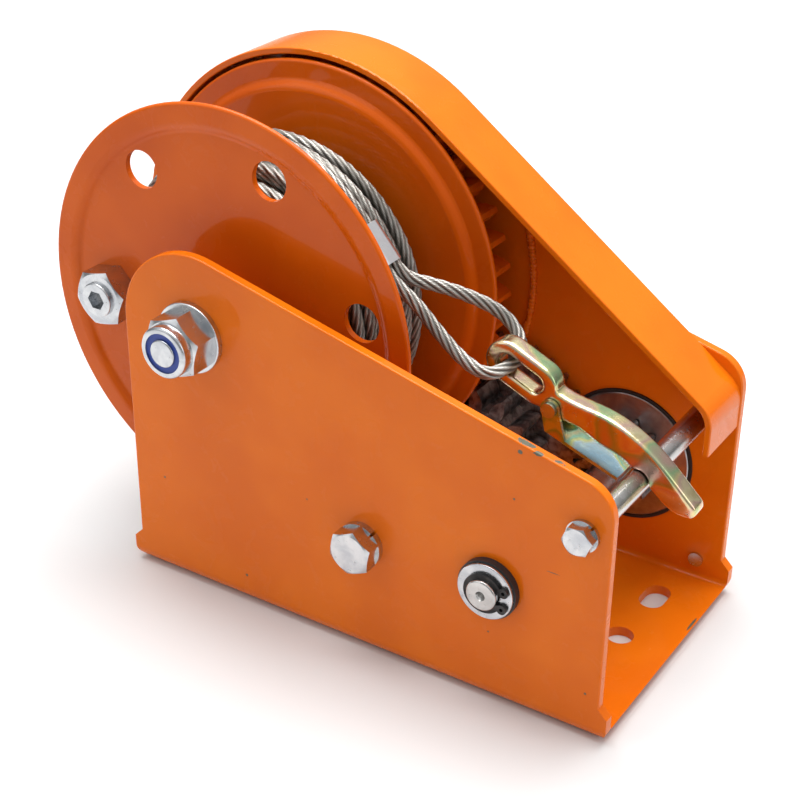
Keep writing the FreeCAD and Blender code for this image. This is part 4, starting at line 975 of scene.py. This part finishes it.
# From the coil through the ferrule, round the hook's eye and back into the ferrule.
LEAD_ROUTE: Tuple[Point, ...] = tuple((x * MM, y * MM, z * MM) for x, y, z in (
    (-60.5, -15.6, 176.8), (-43.0, -16.6, 172.4), (-25.5, -17.4, 160.8), (-4.86, -17.4, 137.1),
    (5.4, -12.4, 135.0), (17.0, -6.6, 131.4), (28.6, -1.2, 125.6), (36.4, -1.6, 118.4),
    (40.6, -8.2, 114.6), (40.4, -17.6, 113.4), (35.4, -24.2, 111.8), (25.8, -24.6, 115.6),
    (14.5, -23.2, 123.2), (4.6, -22.0, 131.2), (-4.86, -22.6, 137.1), (-13.9, -22.6, 147.48)))


@dataclass
class RopeEnd:
    """The rope's free end: through the ferrule, round the hook's eye and back."""

    step: float = 1.3 * MM
    fineness: int = 14
    points_per_lobe: int = 8

    def build(self, shop: Paintshop, nodes: Dict[str, bpy.types.Object]) -> bpy.types.Object:
        """Builds the free end.

        Args:
            shop: The finishes.
            nodes: The frame's nodes; not used.

        Returns:
            The piece.
        """
        line = spline_line("lead_route", np.array(LEAD_ROUTE), self.fineness)
        fine = evenly(line, self.step)
        outward = fine[0] - np.array([DRUM_AXIS[0], fine[0][1], DRUM_AXIS[1]])
        strands = Strands(points_per_lobe=self.points_per_lobe)
        piece = strands.tube("rope_end", fine, carried(fine, outward), 0.0)
        shop.coat(piece, Finish.ROPE)
        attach(piece, "base")
        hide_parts("rope_lead")
        return piece


# --------------------------------------------------------------------------- hook
@dataclass
class ForgedHook:
    """The hook with the soft edges of a forging."""

    voxel: float = 0.55 * MM
    smoothing: int = 9
    softness: float = 0.6

    def build(self, shop: Paintshop, nodes: Dict[str, bpy.types.Object]) -> bpy.types.Object:
        """Builds the hook over its CAD node.

        Args:
            shop: The finishes.
            nodes: The frame's nodes.

        Returns:
            The piece.
        """
        piece = merged_copy(nodes["hook"], "forged_hook")
        remesh = piece.modifiers.new("Remesh", "REMESH")
        remesh.mode = "VOXEL"
        remesh.voxel_size = self.voxel
        soften = piece.modifiers.new("Smooth", "SMOOTH")
        soften.factor = self.softness
        soften.iterations = self.smoothing
        solid_mesh(piece)
        for polygon in piece.data.polygons:
            polygon.use_smooth = True
        shop.coat(piece, Finish.YELLOW)
        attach(piece, "base")
        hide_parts("hook")
        LOG.info("hook with %d faces", len(piece.data.polygons))
        return piece


# --------------------------------------------------------------------------- geometry nodes
class NodeTree:
    """A Geometry Nodes tree with named inputs, ended by Realize Instances and Set Material."""

    def __init__(self, name: str) -> None:
        """Makes an empty tree.

        Args:
            name: The tree's name.
        """
        self.tree = bpy.data.node_groups.new(name, "GeometryNodeTree")
        self.tree.interface.new_socket("Geometry", in_out="OUTPUT",
                                       socket_type="NodeSocketGeometry")
        self.keys: Dict[str, str] = {}
        self.entry = self.tree.nodes.new("NodeGroupInput")
        self.exit = self.tree.nodes.new("NodeGroupOutput")

    def number(self, name: str, default: float) -> Any:
        """Adds a named number input.

        Args:
            name: Its name.
            default: Its value.

        Returns:
            The socket inside the tree.
        """
        made = self.tree.interface.new_socket(name, in_out="INPUT",
                                              socket_type="NodeSocketFloat")
        made.default_value = default
        self.keys[name] = made.identifier
        return [s for s in self.entry.outputs if s.identifier == made.identifier][0]

    def node(self, kind: str, settings: Optional[Dict[str, Any]] = None,
             inputs: Optional[Dict[Any, Any]] = None) -> Any:
        """Adds a node.

        Args:
            kind: Its type.
            settings: Attributes set first.
            inputs: Values or sockets by name or number.

        Returns:
            The node.
        """
        made = self.tree.nodes.new(kind)
        for key, value in (settings or {}).items():
            setattr(made, key, value)
        for key, value in (inputs or {}).items():
            if isinstance(value, bpy.types.NodeSocket):
                self.tree.links.new(value, made.inputs[key])
            else:
                made.inputs[key].default_value = value
        return made

    def close(self, geometry: Any, material: bpy.types.Material) -> None:
        """Ends the tree.

        Args:
            geometry: The socket with the finished shape.
            material: What it is made of.
        """
        real = self.node("GeometryNodeRealizeInstances", inputs={0: geometry})
        dressed = self.node("GeometryNodeSetMaterial", inputs={
            0: real.outputs[0], "Material": material})
        self.tree.links.new(dressed.outputs[0], self.exit.inputs[0])

    def apply(self, name: str, values: Dict[str, float]) -> bpy.types.Object:
        """Runs the tree into a plain mesh.

        Args:
            name: The new piece's name.
            values: Its inputs by name.

        Returns:
            The piece.
        """
        piece = new_piece(name, [], [])
        modifier = piece.modifiers.new("Tree", "NODES")
        modifier.node_group = self.tree
        for key, value in values.items():
            modifier[self.keys[key]] = value
        return solid_mesh(piece)


@dataclass
class WeldBead:
    """A row of overlapping drops along an arc about the drum's axis."""

    radius: float
    side: float
    start_deg: float
    end_deg: float
    drop: float = 1.5 * MM
    pitch: float = 1.5 * MM
    smallest: float = 0.82          # share of the drop's size
    largest: float = 1.12
    seed: int = 3
    arc_points: int = 128

    def build(self, name: str, body: str, shop: Paintshop) -> bpy.types.Object:
        """Lays the bead.

        Args:
            name: The piece's name.
            body: The body it rides on.
            shop: The finishes.

        Returns:
            The piece.
        """
        t = NodeTree(name)
        radius, side = t.number("Radius", self.radius), t.number("Side", self.side)
        drop, pitch = t.number("Drop", self.drop), t.number("Pitch", self.pitch)
        arc = t.node("GeometryNodeCurveArc", {"mode": "RADIUS"}, {
            "Resolution": self.arc_points, "Radius": radius,
            "Start Angle": math.radians(self.start_deg),
            "Sweep Angle": math.radians(self.end_deg - self.start_deg)})
        dots = t.node("GeometryNodeResampleCurve", {"mode": "LENGTH"}, {
            "Curve": arc.outputs[0], "Length": pitch})
        ball = t.node("GeometryNodeMeshIcoSphere", inputs={"Radius": drop, "Subdivisions": 2})
        noise = t.node("FunctionNodeRandomValue", {"data_type": "FLOAT"}, {
            2: self.smallest, 3: self.largest, "Seed": self.seed})
        size = noise.outputs[1]
        drops = t.node("GeometryNodeInstanceOnPoints", inputs={
            "Points": dots.outputs[0], "Instance": ball.outputs[0], "Scale": size})
        place = t.node("ShaderNodeCombineXYZ", inputs={0: DRUM_AXIS[0], 1: side, 2: DRUM_AXIS[1]})
        moved = t.node("GeometryNodeTransform", inputs={
            "Geometry": drops.outputs[0], "Translation": place.outputs[0],
            "Rotation": (math.pi / 2, 0, 0)})
        # Beads on the drum take the drum's darker coat, with its painted shade.
        finish = Finish.ORANGE if body == "base" else Finish.ORANGE_DRUM
        t.close(moved.outputs[0], shop.made[finish])
        piece = t.apply(name, {"Radius": self.radius, "Side": self.side,
                               "Drop": self.drop, "Pitch": self.pitch})
        for polygon in piece.data.polygons:
            polygon.use_smooth = True
        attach(piece, body)
        LOG.info("%s with %d faces", name, len(piece.data.polygons))
        return piece


GUARD_WELD = WeldBead(radius=83.8 * MM, side=51.4 * MM, start_deg=-50.0, end_deg=190.0)
HUB_WELD = WeldBead(radius=14.2 * MM, side=-36.2 * MM, start_deg=0.0, end_deg=360.0)


# --------------------------------------------------------------------------- studio
@dataclass(frozen=True)
class Lamp:
    """A soft light: its place, its width and height in metres, and its power."""

    name: str
    place: Point
    size: Tuple[float, float]
    watts: float


LAMPS = (Lamp("overhead", (-0.15, 0.25, 1.3), (1.3, 1.0), 30.0),
         Lamp("front_left", (-0.9, -1.1, 0.75), (0.9, 0.9), 2.2),
         Lamp("right", (1.3, -0.1, 0.6), (0.6, 0.9), 3.0))


@dataclass
class Studio:
    """Pale floor, surroundings that brighten upwards, soft lights and the camera."""

    camera_place: Point = (0.2841, -0.4752, 0.3880)
    back: Point = (0.4658, -0.7392, 0.4865)
    up: Point = (-0.2693, 0.4053, 0.8736)
    lens: float = 74.88
    sensor: float = 36.0
    aim: Point = (0.0, 0.0, 0.08)
    half_floor: float = 4.0
    floor_colour: Colour = (0.66, 0.657, 0.655)
    low_sky: float = 0.08
    high_sky: float = 0.85
    sky_rise: Tuple[float, float] = (-0.1, 0.9)

    def set_camera(self) -> None:
        """Places the camera."""
        data = bpy.data.cameras.new("camera")
        data.lens = self.lens
        data.sensor_width = self.sensor
        data.clip_start = 0.02
        camera = bpy.data.objects.new("camera", data)
        bpy.context.scene.collection.objects.link(camera)
        back = Vector(self.back).normalized()
        right = Vector(self.up).cross(back).normalized()
        up = back.cross(right)
        turn = Matrix((right, up, back)).transposed().to_4x4()
        camera.matrix_world = Matrix.Translation(self.camera_place) @ turn
        bpy.context.scene.camera = camera

    def lay_floor(self) -> None:
        """Lays the floor."""
        half = self.half_floor
        corners = [(-half, -half, 0), (half, -half, 0), (half, half, 0), (-half, half, 0)]
        floor = new_piece("floor", corners, [(0, 1, 2, 3)], False)
        s = Shader("pale_floor")
        floor.data.materials.append(s.finish(Base_Color=self.floor_colour, Roughness=0.65))

    def hang(self, lamp: Lamp) -> None:
        """Hangs one soft light, aimed at the winch.

        Args:
            lamp: The light.
        """
        data = bpy.data.lights.new(lamp.name, "AREA")
        data.shape = "RECTANGLE"
        data.size, data.size_y = lamp.size
        data.energy = lamp.watts
        hung = bpy.data.objects.new(lamp.name, data)
        bpy.context.scene.collection.objects.link(hung)
        direction = Vector(self.aim) - Vector(lamp.place)
        turn = direction.to_track_quat("-Z", "Y").to_matrix().to_4x4()
        hung.matrix_world = Matrix.Translation(lamp.place) @ turn

    def set_lights(self) -> None:
        """Hangs the lights and sets the surroundings."""
        world = bpy.data.worlds.new("white_room")
        bpy.context.scene.world = world
        world.use_nodes = True
        tree = world.node_tree
        place = tree.nodes.new("ShaderNodeTexCoord")
        split = tree.nodes.new("ShaderNodeSeparateXYZ")
        rise = tree.nodes.new("ShaderNodeMapRange")
        levels = (*self.sky_rise, self.low_sky, self.high_sky)
        for socket, level in zip(list(rise.inputs)[1:5], levels):
            socket.default_value = level
        tree.links.new(place.outputs["Generated"], split.inputs[0])
        tree.links.new(split.outputs[2], rise.inputs[0])
        tree.links.new(rise.outputs[0], tree.nodes["Background"].inputs[1])
        tree.nodes["Background"].inputs[0].default_value = (1.0, 1.0, 1.0, 1.0)
        for lamp in LAMPS:
            self.hang(lamp)
        bpy.context.scene.view_settings.view_transform = "Standard"
        bpy.context.scene.view_settings.look = "None"


def main() -> None:
    """Builds everything in order."""
    logging.basicConfig(level=logging.INFO)
    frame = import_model()
    studio = Studio()
    studio.set_camera()
    shop = Paintshop.opened()
    nodes = frame["nodes"]
    shop.coat_nodes(nodes)
    ForgedHook().build(shop, nodes)
    RopeEnd().build(shop, nodes)
    WoundRope().build(shop)
    GUARD_WELD.build("guard_weld", "base", shop)
    HUB_WELD.build("hub_weld", "drum", shop)
    studio.lay_floor()
    studio.set_lights()


if __name__ == "__main__":
    main()
